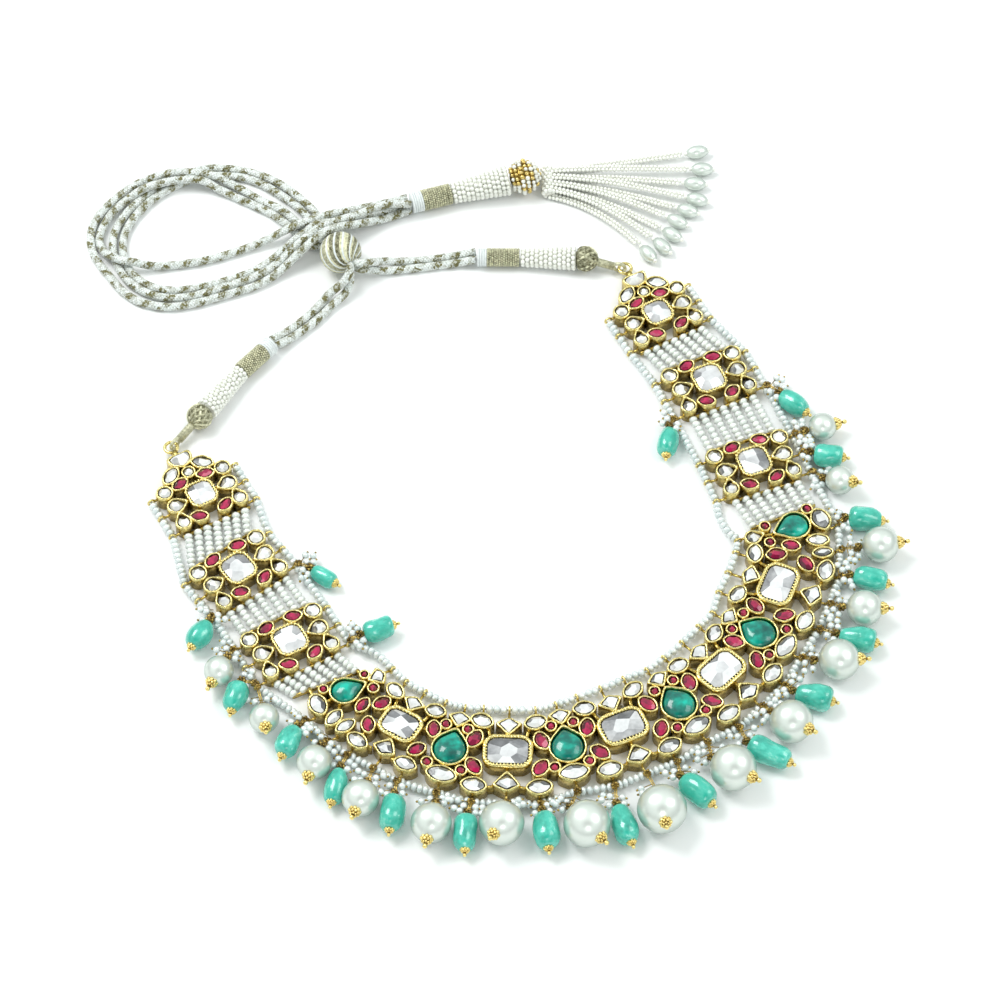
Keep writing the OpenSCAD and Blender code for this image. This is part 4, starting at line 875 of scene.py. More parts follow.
def bead_material():
    """Mint glass-like beads with streaks along their length."""
    material, t, shader, spot = new_material("mint_bead", Coat_Weight=0.8, Coat_Roughness=0.06,
                                             Specular_IOR_Level=0.6)
    own = t.attribute("own").outputs["Vector"]
    stretched = t.add("ShaderNodeVectorMath", {0: own, 1: (0.28, 0.42, 0.42)},
                      operation="MULTIPLY").outputs[0]
    own_shift = t.attribute("tone").outputs["Color"]
    shifted = t.add("ShaderNodeVectorMath", {0: stretched, 1: own_shift},
                    operation="ADD").outputs[0]
    streaks = t.group(MOTTLING, {"Place": shifted, "Per metre": 1.0, "Contrast": 1.9})
    colour = t.ramp(streaks, [(0.05, (0.02, 0.28, 0.22)), (0.4, (0.04, 0.47, 0.36)),
                              (0.7, (0.09, 0.62, 0.49)), (0.97, (0.38, 0.84, 0.72))])
    deep = t.group(MOTTLING, {"Place": spot, "Per metre": 38.0, "Contrast": 3.0})
    colour = t.mix(t.math("MULTIPLY", deep, 0.55), colour, (0.01, 0.40, 0.28))
    fine = t.group(MOTTLING, {"Place": spot, "Per metre": 900.0, "Contrast": 1.5})
    connect(t, shader, Base_Color=colour,
            Roughness=t.math("ADD", 0.14, t.math("MULTIPLY", fine, 0.14)),
            Normal=t.group(GRAIN, {"Place": spot, "Per metre": 500.0, "Depth": 0.00015}))
    return material


def braid_material():
    """White braided cord with olive-gold checks that wind round it."""
    material, t, shader, spot = new_material("white_braid", Roughness=0.85, Sheen_Weight=0.3)
    uv = t.add("ShaderNodeTexCoord").outputs["UV"]
    parts = t.add("ShaderNodeSeparateXYZ", {"Vector": uv})
    around, along = parts.outputs["X"], parts.outputs["Y"]
    turns = t.math("MULTIPLY", around, 6.0)
    lean_a = t.math("ADD", along, turns)
    lean_b = t.math("SUBTRACT", along, turns)
    wave_a = t.math("SINE", t.math("MULTIPLY", lean_a, math.pi))
    wave_b = t.math("SINE", t.math("MULTIPLY", lean_b, math.pi))
    strands = t.math("ABSOLUTE", t.math("MULTIPLY", wave_a, wave_b))
    speckle = t.group(MOTTLING, {"Place": spot, "Per metre": 1300.0, "Contrast": 7.0})
    ragged = t.math("MULTIPLY", t.math("SUBTRACT", speckle, 0.5), 0.13)
    turn = t.math("ADD", t.math("MULTIPLY", along, 0.155), t.math("ADD", around, ragged))
    band = t.math("LESS_THAN", t.math("FRACT", turn), 0.48)
    back_turn = t.math("SUBTRACT", t.math("MULTIPLY", along, 0.06),
                       t.math("ADD", around, ragged))
    dash = t.math("LESS_THAN", t.math("FRACT", back_turn), 0.8)
    thick = t.math("MINIMUM", t.math("ADD", t.math("MULTIPLY", speckle, 0.8), 0.4), 1.0)
    flecks = t.group(MOTTLING, {"Place": spot, "Per metre": 1150.0, "Contrast": 12.0})
    stray = t.math("MULTIPLY", t.math("GREATER_THAN", flecks, 0.93), 0.35)
    gilt = t.math("MAXIMUM", t.math("MULTIPLY", t.math("MULTIPLY", band, dash), thick), stray)
    patches = t.group(MOTTLING, {"Place": spot, "Per metre": 600.0, "Contrast": 1.5})
    white = t.mix(patches, (0.88, 0.95, 0.90), (0.98, 1.0, 0.98))
    gold = t.mix(patches, (0.11, 0.10, 0.025), (0.27, 0.25, 0.085))
    colour = t.mix(gilt, white, gold)
    # Painted shade: darker in the grooves between the braid's strands.
    shade = t.math("ADD", 0.76, t.math("MULTIPLY", strands, 0.24))
    grey = t.add("ShaderNodeCombineColor", {"Red": shade, "Green": shade, "Blue": shade})
    colour = t.mix(1.0, colour, grey.outputs["Color"], "MULTIPLY")
    bump = t.add("ShaderNodeBump", {"Height": strands, "Distance": 0.00025, "Strength": 0.8})
    connect(t, shader, Base_Color=colour, Normal=bump.outputs["Normal"])
    return material


def thread_material(name, low, high, metallic, rough):
    """Wound thread: each turn its own shade, with fine patches along it."""
    material, t, shader, spot = new_material(name, Metallic=metallic)
    patches = t.group(MOTTLING, {"Place": spot, "Per metre": 1500.0, "Contrast": 3.2})
    fine = t.group(MOTTLING, {"Place": spot, "Per metre": 6000.0, "Contrast": 1.5})
    value = t.math("ADD", t.math("MULTIPLY", t.attribute("tone").outputs["Fac"], 0.55),
                   t.math("MULTIPLY", patches, 0.45))
    connect(t, shader, Base_Color=t.mix(value, low, high),
            Roughness=t.math("ADD", rough - 0.08, t.math("MULTIPLY", fine, 0.16)),
            Normal=t.group(GRAIN, {"Place": spot, "Per metre": 3000.0, "Depth": 0.00014}))
    return material


RIM_GOLD = gold_material("rim_gold", (0.05, 0.034, 0.008), (0.39, 0.28, 0.075),
                         (0.67, 0.52, 0.165), (0.91, 0.77, 0.34), 0.24)
OLD_GOLD = gold_material("old_gold", (0.05, 0.03, 0.01), (0.22, 0.15, 0.05),
                         (0.62, 0.45, 0.13), (0.95, 0.76, 0.30), 0.30)
PEARL = pearl_material()
SEED_PEARL = seed_pearl_material("seed_pearl", (0.60, 0.68, 0.68), (0.88, 0.92, 0.90),
                                 (0.20, 0.17, 0.12))
STRAND_PEARL = seed_pearl_material("strand_pearl", (0.74, 0.79, 0.75), (0.96, 0.98, 0.94),
                                   (0.30, 0.27, 0.20))
WHITE_SEED = seed_pearl_material("white_seed", (0.80, 0.81, 0.72), (0.95, 0.95, 0.89),
                                 (0.60, 0.58, 0.50), 0.25)
GOLD_SEED = gold_material("gold_seed", (0.10, 0.06, 0.015), (0.36, 0.25, 0.06),
                          (0.66, 0.48, 0.14), (0.90, 0.72, 0.30), 0.26)
DIAMOND = stone_material("flat_diamond", [(0.0, (0.02, 0.02, 0.02)), (0.3, (0.16, 0.16, 0.16)),
                                          (0.6, (0.58, 0.58, 0.58)), (1.0, (0.95, 0.96, 0.95))],
                         500.0, 2.4, 0.04, 0.72)
CRYSTAL = stone_material("table_crystal", [(0.0, (0.04, 0.04, 0.04)), (0.3, (0.20, 0.20, 0.21)),
                                           (0.6, (0.58, 0.58, 0.59)), (1.0, (0.95, 0.96, 0.96))],
                         260.0, 2.2, 0.03, 0.72)
RUBY = stone_material("foiled_ruby", [(0.0, (0.02, 0.0, 0.005)), (0.35, (0.10, 0.0, 0.018)),
                                      (0.65, (0.28, 0.001, 0.045)), (1.0, (0.60, 0.01, 0.10))],
                      500.0, 2.2, 0.12, 0.6, 0.25)
EMERALD = stone_material("foiled_emerald", [(0.0, (0.0, 0.05, 0.045)), (0.4, (0.0, 0.17, 0.13)),
                                            (0.7, (0.0, 0.34, 0.25)), (1.0, (0.0, 0.60, 0.46))],
                         190.0, 3.0, 0.14, 0.25, 0.5, 0.4)
MINT = bead_material()
BRAID = braid_material()
GILT_THREAD = thread_material("gilt_thread", (0.07, 0.065, 0.02), (0.90, 0.88, 0.62), 0.4, 0.36)
WHITE_THREAD = thread_material("white_thread", (0.66, 0.70, 0.70), (0.88, 0.91, 0.90), 0.0, 0.8)


def floor():
    """The plain pale table."""
    bm = bmesh.new()
    bmesh.ops.create_grid(bm, x_segments=1, y_segments=1, size=2.0)
    mesh = bpy.data.meshes.new("table_top")
    bm.to_mesh(mesh)
    bm.free()
    material, t, shader, spot = new_material("pale_table", Roughness=0.9)
    patches = t.group(MOTTLING, {"Place": spot, "Per metre": 3.0, "Contrast": 1.0})
    connect(t, shader, Base_Color=t.mix(patches, (0.90, 0.90, 0.90), (0.93, 0.93, 0.93)))
    mesh.materials.append(material)
    table = bpy.data.objects.new("table_top", mesh)
    bpy.context.scene.collection.objects.link(table)


floor()


# Cords: these come before everything that lies on them.
def cords():
    """The four braided cords, laid along their routes."""
    for name, node, route in (("left_cord_a_braid", "left_cord_a", LEFT_A),
                              ("left_cord_b_braid", "left_cord_b", LEFT_B),
                              ("right_cord_a_braid", "right_cord_a", RIGHT_A),
                              ("right_cord_b_braid", "right_cord_b", RIGHT_B)):
        path = smooth_path(route, 4)
        piece = finish_piece(name, tube_mesh(path, CORD_D / 2 - 0.02, 14, 0.8), [node])
        piece.data.materials.append(BRAID)


cords()


# Gold settings.
# The rim's profile: share of the way from the outer edge to the stone, height, and a
# wear-and-shade value: pale on the rubbed lip, lower towards the wall's foot and near black in the
# recess by the stone, where the darkness is painted shade.
RIM_PROFILE = [(0.0, 0.03, 0.45), (0.0, 3.6, 0.66), (0.04, 4.05, 0.75), (0.16, 4.38, 0.95),
               (0.36, 4.54, 1.0), (0.56, 4.54, 1.0), (0.72, 4.36, 0.7), (0.84, 4.0, 0.3),
               (0.95, 3.7, 0.06), (1.04, 3.5, 0.02), (1.10, 2.60, 0.02)]


HAMMER_RISE = 0.16    # how uneven a rim is, up and sideways
HAMMER_SIDE = 0.09


def rim_block(s, count):
    """One stone's gold block: a wall painted darker towards its foot, a rubbed lip and a recess
    round the stone painted dark as shade.
    """
    outer, inner = ring_of(s, rim_of(s), count), ring_of(s, 0, count)
    shift = random.random() * 50
    rings = []
    for share, height, _ in RIM_PROFILE:
        row = []
        for x, y in (1 - share) * outer + share * inner:
            lump = noise.noise(Vector((x * 1.1 + shift, y * 1.1, height * 0.3)))
            rise = HAMMER_RISE * lump if share > 0.02 else 0
            row.append((x + HAMMER_SIDE * lump, y + HAMMER_SIDE * lump,
                        min(height + rise, SETTING_H - 0.02)))
        rings.append(row)
    return lofted(rings, [row[2] for row in RIM_PROFILE])


RING = ring((LOOP_D + 1.2) / 4, 0.30, 12, 6, wear=0.8)
GRANULE = ball(0.42, 7, 5, wear=0.85)
RIB = box((0.44, 0.95, 0.75), 0.14, wear=0.95)


def string_ring(kit, point, along, toward, neck):
    """A ring that a string passes through, on its neck from the setting."""
    kit.add(RING, frame_at((*point, STRING_Z), (*along, 0)))
    start = Vector((*point, STRING_Z)) + 0.9 * Vector((*toward, 0))
    rod_between(kit, start, start + neck * Vector((*toward, 0)), 0.36, wear=0.5)


def heading(point, side):
    """The string's direction at a loop."""
    loops = edge_loops(side)
    k = min(range(len(loops)), key=lambda i: math.dist(loops[i], point))
    a, b = loops[max(k - 1, 0)], loops[min(k + 1, len(loops) - 1)]
    return Vector((b[0] - a[0], b[1] - a[1])).normalized()


def turned(lay, x, y):
    """A unit's own direction on the table."""
    a = math.radians(lay[2])
    return (x * math.cos(a) - y * math.sin(a), x * math.sin(a) + y * math.cos(a))


def ribbons(kit, lay, links):
    """Gold strips that hold neighbouring blocks together."""
    for x0, y0, x1, y1 in links:
        length = math.dist((x0, y0), (x1, y1))
        # A low wear-and-shade value paints the ribbons darker than the rims, as shade between the
        # blocks.
        shape = box((length, 0.9, 3.3), 0.18, wear=0.42)
        kit.add(shape, lay_matrix(lay) @ Matrix.Translation(((x0 + x1) / 2, (y0 + y1) / 2, 1.75))
                @ Matrix.Rotation(math.atan2(y1 - y0, x1 - x0), 4, "Z"))


def milled(kit, lay, s, share, pitch):
    """Short ribs across a rim, all the way round it."""
    count = 120
    line = (1 - share) * ring_of(s, rim_of(s), count) + share * ring_of(s, 0, count)
    steps = np.linalg.norm(np.roll(line, -1, axis=0) - line, axis=1)
    run = 0.0
    for k in range(count):
        run += steps[k]
        if run >= pitch:
            run = 0.0
            p, q = line[k], line[(k + 1) % count]
            kit.add(RIB, lay_matrix(lay) @ frame_at((*p, 4.33), (*(q - p), 0)))


def setting(lay, rows, links, loops):
    """A unit's gold: a block for each stone, ribbons between them and its string rings."""
    kit = Joined()
    for s in rows:
        kit.add(rim_block(s, 36 if s[6] in ("crystal", "emerald") else 26), lay_matrix(lay))
        if s[6] == "crystal" and s[3] > 8:
            milled(kit, lay, s, 0.60, 0.86)
        elif s[6] == "crystal":
            milled(kit, lay, s, 0.50, 0.84)
    ribbons(kit, lay, links)
    for p, side, toward, neck in loops:
        point = place(lay, p)
        string_ring(kit, point, heading(point, side), turned(lay, *toward), neck)
    return kit


def bar(kit, lay, middle, along_x, length):
    """The bar that the strands' ends are tied to."""
    size = (length, 0.7, 1.3) if along_x else (0.7, length, 1.3)
    # A low wear-and-shade value paints the bar dark brown, as shade under the strands.
    kit.add(box(size, 0.2, wear=0.4), lay_matrix(lay) @ Matrix.Translation((*middle, 1.25)))


def panel_settings():
    """The gold of the panel's eleven units."""
    for i in range(6):
        ends = {0: (LEFT_END_OUTER, LEFT_END_INNER, LEFT_END_LINKS),
                5: (RIGHT_END_OUTER, RIGHT_END_INNER, RIGHT_END_LINKS)}
        outer, inner, links = ends.get(i, (EMERALD_OUTER, EMERALD_INNER, []))
        loops = [(p, 1, (0, 1), 2.4) for p in outer] + [(p, -1, (0, -1), 3.2) for p in inner]
        lay = EMERALD_LAY[i]
        kit = setting(lay, emerald_stones(i), links, loops)
        if i in (0, 5):
            side = -1 if i == 0 else 1
            bar(kit, lay, (side * (END_BAR_X + BAR_W / 2), END_BAR_AT[side]), False,
                END_BAR_LEN)
        kit.piece("emerald_setting_%d_gold" % (i + 1), [RIM_GOLD],
                  ["emerald_setting_%d" % (i + 1)], "gold")
    for i in range(5):
        loops = [(p, 1, (0, 1), 2.4) for p in crystal_loops(i, 1)]
        loops += [(p, -1, (0, -1), 3.4) for p in crystal_loops(i, -1)]
        kit = setting(CRYSTAL_LAY[i], crystal_stones(i),
                      FIRST_LINKS if i == 0 else CRYSTAL_LINKS, loops)
        kit.piece("crystal_setting_%d_gold" % (i + 1), [RIM_GOLD],
                  ["crystal_setting_%d" % (i + 1)], "gold")


def plaque_settings():
    """The gold of the six plaques, with bars, and bails on the end ones."""
    for i in range(6):
        name = "%s_plaque_%d" % ("left" if i < 3 else "right", i % 3 + 1)
        lay = PLAQUE_LAY[i]
        loops = []
        for side in (-1, 1):
            edge = side if i >= 3 else -side
            loops += [(plaque_loop(i, side, k), edge, (-side, 0), 2.6) for k in range(3)]
        kit = setting(lay, plaque_stones(i), [], loops)
        for side in (-1, 1):
            if side < 0 or i % 3:
                bar(kit, lay, (0, side * BAR_Y), True, PLAQUE_BAR_LEN)
        if i % 3 == 0:
            kit.add(ring(1.7, 0.45, 20, 8, wear=0.85), lay_matrix(lay)
                    @ Matrix.Translation((0, BAIL_Y, BAIL_Z))
                    @ Matrix.Rotation(math.radians(90), 4, "Y"))
            rod_between(kit, (*place(lay, (0, 14)), BAIL_Z), (*place(lay, (0, 16.3)), BAIL_Z), 1.0)
        kit.piece(name + "_gold", [RIM_GOLD], [name], "gold")


panel_settings()
plaque_settings()


# Stones.
def facetted(s, top, drop, facets):
    """A flat-topped stone with facets cut round it. Each face gets painted light and shade: a
    bright table as a painted reflection, dark sides, and facets of random brightness, painted
    greyer towards the neck as shade.
    """
    outline = ring_of(s, -0.04, 24, 0 if s[0] in ("kite", "cushion") else 1)
    bm = bent_grid([[(x, y, z) for x, y in outline] for z in (2.5, top)])
    w, h = s[3] / 2, s[4] / 2
    turn = math.radians(s[5])
    start = random.random()
    for k in range(facets):
        a = math.tau * (k + start + 0.25 * random.random()) / facets
        x, y = math.cos(a), math.sin(a)
        reach = random.uniform(0.30, 0.62)
        at = Vector((reach * w * x, reach * h * y))
        slope = drop / ((1 - reach) * math.hypot(w * x, h * y))
        lean = Vector((x / w, y / h)).normalized()
        at.rotate(Matrix.Rotation(turn, 2))
        lean.rotate(Matrix.Rotation(turn, 2))
        cut = bmesh.ops.bisect_plane(
            bm, geom=bm.verts[:] + bm.edges[:] + bm.faces[:], dist=1e-4,
            plane_co=(s[1] + at.x, s[2] + at.y, top),
            plane_no=(lean.x * slope, lean.y * slope, 1), clear_outer=True)
        edges = [g for g in cut["geom_cut"] if isinstance(g, bmesh.types.BMEdge)]
        bmesh.ops.holes_fill(bm, edges=edges, sides=0)
    bmesh.ops.dissolve_limit(bm, angle_limit=0.01, verts=bm.verts, edges=bm.edges)
    bm.normal_update()
    depth = random.uniform(-0.12, 0.12)

    # Painted light and shade for each face, not the stone's own colour.
    def tone(face):
        if face.normal.z > 0.999:
            return random.uniform(0.75, 1.0) + depth
        if face.normal.z < 0.3:
            return 0.1
        facet = random.choice((0.2, 0.5, 0.8, 1.1)) - 0.9 * face.normal.y + depth
        return min(max(facet, 0.02), 1.1)

    return Shape(bm, smooth=False, painted_facet_shades=tone)


def domed(s, low, rise):
    """A smooth domed stone, a little uneven."""
    outline = ring_of(s, -0.04, 30)
    middle = outline.mean(axis=0)
    rings = [[(x, y, 2.5) for x, y in outline]]
    shift = random.random() * 40
    for a in (0, 15, 32, 48, 62, 74, 84):
        share = math.cos(math.radians(a))
        row = []
        for x, y in middle + share * (outline - middle):
            lump = noise.noise(Vector((x * 0.35 + shift, y * 0.35, 0)))
            row.append((x, y, low + (rise + 0.25 * lump) * math.sin(math.radians(a))))
        rings.append(row)
    return lofted(rings)


def stones():
    """Every stone: emeralds and panel crystals singly, the others in sets."""
    def kit_of(lays, rows, gem):
        kit = Joined()
        for lay, stones_here in zip(lays, rows):
            for s in stones_here:
                if s[6] == gem:
                    big = s[3] > 6 and gem == "crystal"
                    shape = (domed(s, 3.5, 1.75) if gem == "emerald" else
                             facetted(s, 4.82, 0.55 if big else 0.75, 8 if big else 6))
                    kit.add(shape, lay_matrix(lay))
        return kit

    panel_lays = EMERALD_LAY + CRYSTAL_LAY
    panel_rows = [emerald_stones(i) for i in range(6)] + [crystal_stones(i) for i in range(5)]
    plaque_rows = [plaque_stones(i) for i in range(6)]
    for i in range(6):
        kit_of([EMERALD_LAY[i]], [emerald_stones(i)], "emerald").piece(
            "emerald_%d_dome" % (i + 1), [EMERALD], ["emerald_%d" % (i + 1)], "emerald")
    for i in range(5):
        kit_of([CRYSTAL_LAY[i]], [crystal_stones(i)], "crystal").piece(
            "crystal_%d_table" % (i + 1), [CRYSTAL], ["crystal_%d" % (i + 1)], "crystal")
    for name, lays, rows, gem, material, slot in (
            ("plaque_crystals", PLAQUE_LAY, plaque_rows, "crystal", CRYSTAL, "crystal"),
            ("panel_diamonds", panel_lays, panel_rows, "diamond", DIAMOND, "diamond"),
            ("plaque_diamonds", PLAQUE_LAY, plaque_rows, "diamond", DIAMOND, "diamond"),
            ("panel_rubies", panel_lays, panel_rows, "ruby", RUBY, "ruby"),
            ("plaque_rubies", PLAQUE_LAY, plaque_rows, "ruby", RUBY, "ruby")):
        kit_of(lays, rows, gem).piece(name + "_cut", [material], [name], slot)


stones()


# Seed pearls on strings.
SEED_PITCH = 1.62    # along the string
SEED_WIDE = 2.38


def seed_pearl(wide, long):
    """A squashed seed pearl with a dark spot painted at each end as the shade in its drill hole.
    """
    bm = bmesh.new()
    bmesh.ops.create_uvsphere(bm, u_segments=9, v_segments=7, radius=wide / 2)
    bmesh.ops.transform(bm, verts=bm.verts, matrix=Matrix.Rotation(math.radians(90), 4, "Y"))
    wear = bm.verts.layers.float.new("wear")
    for v in bm.verts:
        # The wear-and-shade value is 0 at each end: there the material paints the drill hole's
        # shade.
        v[wear] = 0.0 if abs(v.co.x) > 0.49 * wide else 1.0
        lump = noise.noise(v.co * 1.1)
        v.co *= 1 + 0.06 * lump
    bmesh.ops.scale(bm, verts=bm.verts, vec=(long / wide, 1, 1))
    return Shape(bm)


SEED = seed_pearl(SEED_WIDE, SEED_PITCH)
SIDE_SEED = seed_pearl(1.95, 1.85)


def pearl_row(kit, p, q):
    """Pearls on a thread between two points, each turned and sized a little differently."""
    p, q = Vector(p), Vector(q)
    length = (q - p).length
    count = max(1, round(length / SEED_PITCH))
    fit = length / count / SEED_PITCH
    for k in range(count):
        size = 1 + random.uniform(-0.05, 0.05)
        at = p.lerp(q, (k + 0.5) / count)
        at += Vector((random.uniform(-0.06, 0.06), random.uniform(-0.06, 0.06), 0))
        along = (q - p).normalized() + Vector((random.uniform(-0.12, 0.12),
                                               random.uniform(-0.12, 0.12), 0))
        kit.add(SEED, frame_at(at, along)
                @ Matrix.Rotation(random.uniform(0, math.tau), 4, "X")
                @ Matrix.Diagonal((fit, size, size, 1)), tone=random.uniform(0.2, 1.0))
    rod_between(kit, p, q, 0.3, wear=1.0, around=5)


def edge_strings():
    """The two strings through the loops. The inner one bows at the panel's ends."""
    for side, name in ((1, "outer_edge_string"), (-1, "inner_edge_string")):
        kit = Joined()
        loops = edge_loops(side)
        for i, (a, b) in enumerate(zip(loops, loops[1:])):
            a, b = Vector((*a, STRING_Z)), Vector((*b, STRING_Z))
            gap = 0.50 * (b - a).normalized()
            stops = [a + gap, b - gap]
            if side < 0 and i in (8, len(loops) - 10):
                out = Vector((-(b - a).y, (b - a).x, 0)).normalized()
                bow = [a.lerp(b, k) + END_BULGE * 4 * k * (1 - k) * out
                       for k in (0.25, 0.5, 0.75)]
                stops = [a + gap] + bow + [b - gap]
            for p, q in zip(stops, stops[1:]):
                pearl_row(kit, p, q)
            rod_between(kit, a - gap, a + gap, 0.3, wear=0.6)
        kit.piece(name + "_pearls", [SEED_PEARL], [name], "seed_pearl")


def plaque_ports(i, end):
    """Where the strands meet a plaque's bar."""
    pitch = STRAND_PITCH * (END_NARROW if i % 3 == 0 else 0.98)
    return [place(PLAQUE_LAY[i], ((k - 3) * pitch, end * (BAR_Y - 0.1)))
            for k in range(STRANDS)]


def end_ports(side):
    """Where the strands meet the panel's end."""
    return [place(EMERALD_LAY[5 if side > 0 else 0],
                  (side * (END_BAR_X + 0.4 * BAR_W),
                   END_BAR_AT[side] - side * (k - 3) * END_PITCH))
            for k in range(STRANDS)]


def strand_bundles():
    """The strands between plaques, and from the last plaque to the panel."""
    for i in range(6):
        name = "%s_strands_%d" % ("left" if i < 3 else "right", i % 3 + 1)
        start = plaque_ports(i, -1)
        stop = end_ports(-1 if i < 3 else 1) if i % 3 == 2 else plaque_ports(i + 1, 1)
        kit = Joined()
        for k in range(STRANDS):
            pearl_row(kit, (*start[k], STRING_Z), (*stop[k], STRING_Z))
        kit.piece(name + "_pearls", [STRAND_PEARL], [name], "seed_pearl")


edge_strings()
strand_bundles()


# The fringe.
def drop_matrix(x, y, z, turn, lift):
    """A drop's place, with X along its pin."""
    return (Matrix.Translation((x, y, z)) @ Matrix.Rotation(math.radians(turn), 4, "Z")
            @ Matrix.Rotation(math.radians(-lift), 4, "Y"))


def fringe_pearls():
    """The large pearls, each slightly uneven."""
    kit = Joined()
    for x, y, d, turn, lift in PEARL_DROPS:
        bm = bmesh.new()
        bmesh.ops.create_uvsphere(bm, u_segments=32, v_segments=20, radius=d / 2)
        bmesh.ops.transform(bm, verts=bm.verts, matrix=Matrix.Rotation(math.radians(90), 4, "Y"))
        shift = Vector((random.random() * 30, 0, 0))
        for v in bm.verts:
            v.co *= 0.985 + 0.03 * noise.noise(v.co / d * 1.6 + shift)
        kit.add(Shape(bm), drop_matrix(x, y, d / 2, turn, lift), tone=random.random())
    kit.piece("fringe_pearls_lustre", [PEARL], ["fringe_pearls"], "pearl")


def fringe_beads():
    """Tumbled nuggets: uneven in the round, each fuller towards one end."""
    kit = Joined()
    for x, y, length, d, turn in BEAD_DROPS:
        shift, fuller = random.random() * 30, random.uniform(-0.10, 0.16)
        rings = []
        for a in (-1, -0.985, -0.94, -0.84, -0.66, -0.42, -0.14, 0.14, 0.42, 0.66, 0.84, 0.94,
                  0.985, 1):
            wide = (1 - abs(a) ** 2.3) ** 0.5 * 0.58 + 0.41 if abs(a) < 0.99 else 0.26
            wide *= 0.98 + fuller * a
            row = []
            for k in range(20):
                t = math.tau * k / 20
                lump = noise.noise(Vector((a * 0.8 + shift, 0.6 * math.cos(t), 0.6 * math.sin(t))))
                r = d / 2 * min(wide * (0.98 + 0.28 * lump), 1.0)
                row.append((a * length / 2, r * math.cos(t), r * math.sin(t)))
            rings.append(row)
        kit.add(lofted(rings), drop_matrix(x, y, d / 2, turn, 0), tone=random.random() * 9)
    kit.piece("fringe_green_beads_mint", [MINT], ["fringe_green_beads"], "green_bead")


PETAL = ball(0.5, 7, 5, wear=0.9)


def flower_cap(width, length):
    """A cap of petals with granules and a ball on its end, along X: shapes with matrices."""
    parts = []
    for count, out, back, size in ((8, 0.40, 0.10, 0.30), (8, 0.33, 0.42, 0.25),
                                   (6, 0.20, 0.72, 0.20)):
        for k in range(count):
            t = math.tau * (k + 0.5 * (size < 0.3)) / count
            parts.append((PETAL, Matrix.Rotation(t, 4, "X") @ Matrix.Translation(
                (back * length, out * width, 0)) @ Matrix.Diagonal(
                    (size * 1.25 * width, size * 0.85 * width, size * width, 1))))
    core = lathe([(0, 0), (0, 0.38 * width), (0.3 * length, 0.34 * width),
                  (0.8 * length, 0.18 * width), (1.02 * length, 0.12 * width),
                  (1.02 * length, 0)], 12, wear=0.3)
    parts.append((core, Matrix.Identity(4)))
    ball_r = 0.19 * width
    parts.append((ball(ball_r, 10, 7, wear=0.95),
                  Matrix.Translation((1.0 * length + ball_r, 0, 0))))
    return parts


def wire_knot(kit, matrix, half):
    """The wound wire and granules at a drop's upper end, along minus X."""
    for k in range(3):
        kit.add(ring(0.52 - 0.06 * k, 0.17, 9, 5, wear=0.5),
                matrix @ Matrix.Translation((-half - 0.15 - 0.32 * k, 0, 0)))
    for k in range(14):
        a = math.tau * k / 14 * 3
        kit.add(GRANULE, matrix @ Matrix.Translation(
            (-half - 0.5 - 0.10 * k, 0.78 * math.cos(a), 0.78 * math.sin(a)))
            @ Matrix.Scale(random.uniform(0.85, 1.25), 4), wear=random.uniform(0.2, 0.5))


def side_pearls(kit, seeds, foot, hook):
    """Small pearls beside a drop's wire, each tipped with a dot of old gold."""
    along = Vector((foot.x - hook.x, foot.y - hook.y, 0)).normalized()
    across = Vector((-along.y, along.x, 0))
    for side, reach, back in ((1, 2.0, 0.3), (-1, 2.0, 0.1), (1, 1.6, 2.1), (-1, 1.6, 2.2),
                              (1, 3.7, 1.3), (-1, 3.7, 1.2), (1, 3.3, 3.0), (-1, 3.3, 3.1)):
        if reach > 3 and random.random() < 0.3:
            continue
        lean = (across * side + along * random.uniform(-0.1, 0.5)).normalized()
        base = foot - back * along
        spot = base + reach * lean
        spot.z = min(max(base.z, 1.2), 3.4) + random.uniform(-0.3, 0.3)
        rod_between(kit, base, spot, 0.14, wear=0.4, around=5)
        seeds.add(SIDE_SEED, frame_at(spot, lean), tone=random.uniform(0.3, 1))
        tip = spot + 1.1 * lean
        kit.add(GRANULE, Matrix.Translation(tip) @ Matrix.Scale(0.8, 4), wear=0.5)


def fringe_caps():
    """Gold at both ends of every drop, and the wires up to the string."""
    kit, seeds = Joined(), Joined()
    loops = edge_loops(1) + edge_loops(-1)
    drops = [(x, y, d / 2, d / 2, turn, lift, 3.4, 1.9) for x, y, d, turn, lift in PEARL_DROPS]
    drops += [(x, y, d / 2, length / 2, turn, 0, 2.6, 1.1)
              for x, y, length, d, turn in BEAD_DROPS]
    for x, y, z, half, turn, lift, width, length in drops:
        matrix = drop_matrix(x, y, z, turn, lift)
        cap = flower_cap(width, length)
        seat = half - (0.28 if length > 1.5 else 0.0)
        for shape, place_in in cap:
            kit.add(shape, matrix @ Matrix.Translation((seat, 0, 0)) @ place_in)
        wire_knot(kit, matrix, half)
        foot = matrix @ Vector((-half - 1, 0, 0))
        near = min(loops, key=lambda q: math.dist(q, (foot.x, foot.y)))
        inward = Vector((foot.x - near[0], foot.y - near[1], 0)).normalized()
        hook = Vector((*near, STRING_Z + LOOP_D / 2 + PIN_D / 2 + 0.1)) + 0.55 * inward
        side_pearls(kit, seeds, foot, hook)
        side = Vector((-inward.y, inward.x, 0)) * 0.22
        rod_between(kit, foot + side, hook + side, 0.17, wear=0.6, around=6)
        rod_between(kit, foot - side, hook - side, 0.17, wear=0.6, around=6)
        for k in range(7):
            a = math.tau * k / 7
            kit.add(GRANULE, Matrix.Translation(hook + Vector(
                (0.75 * math.cos(a), 0.75 * math.sin(a), random.uniform(-0.5, 0.1))))
                @ Matrix.Scale(random.uniform(0.8, 1.2), 4), wear=random.uniform(0.25, 0.5))
    kit.piece("fringe_caps_gold", [OLD_GOLD], ["fringe_caps"], "gold")
    seeds.piece("fringe_side_pearls", [SEED_PEARL], ["fringe_caps"], "seed_pearl")


fringe_pearls()
fringe_beads()
fringe_caps()


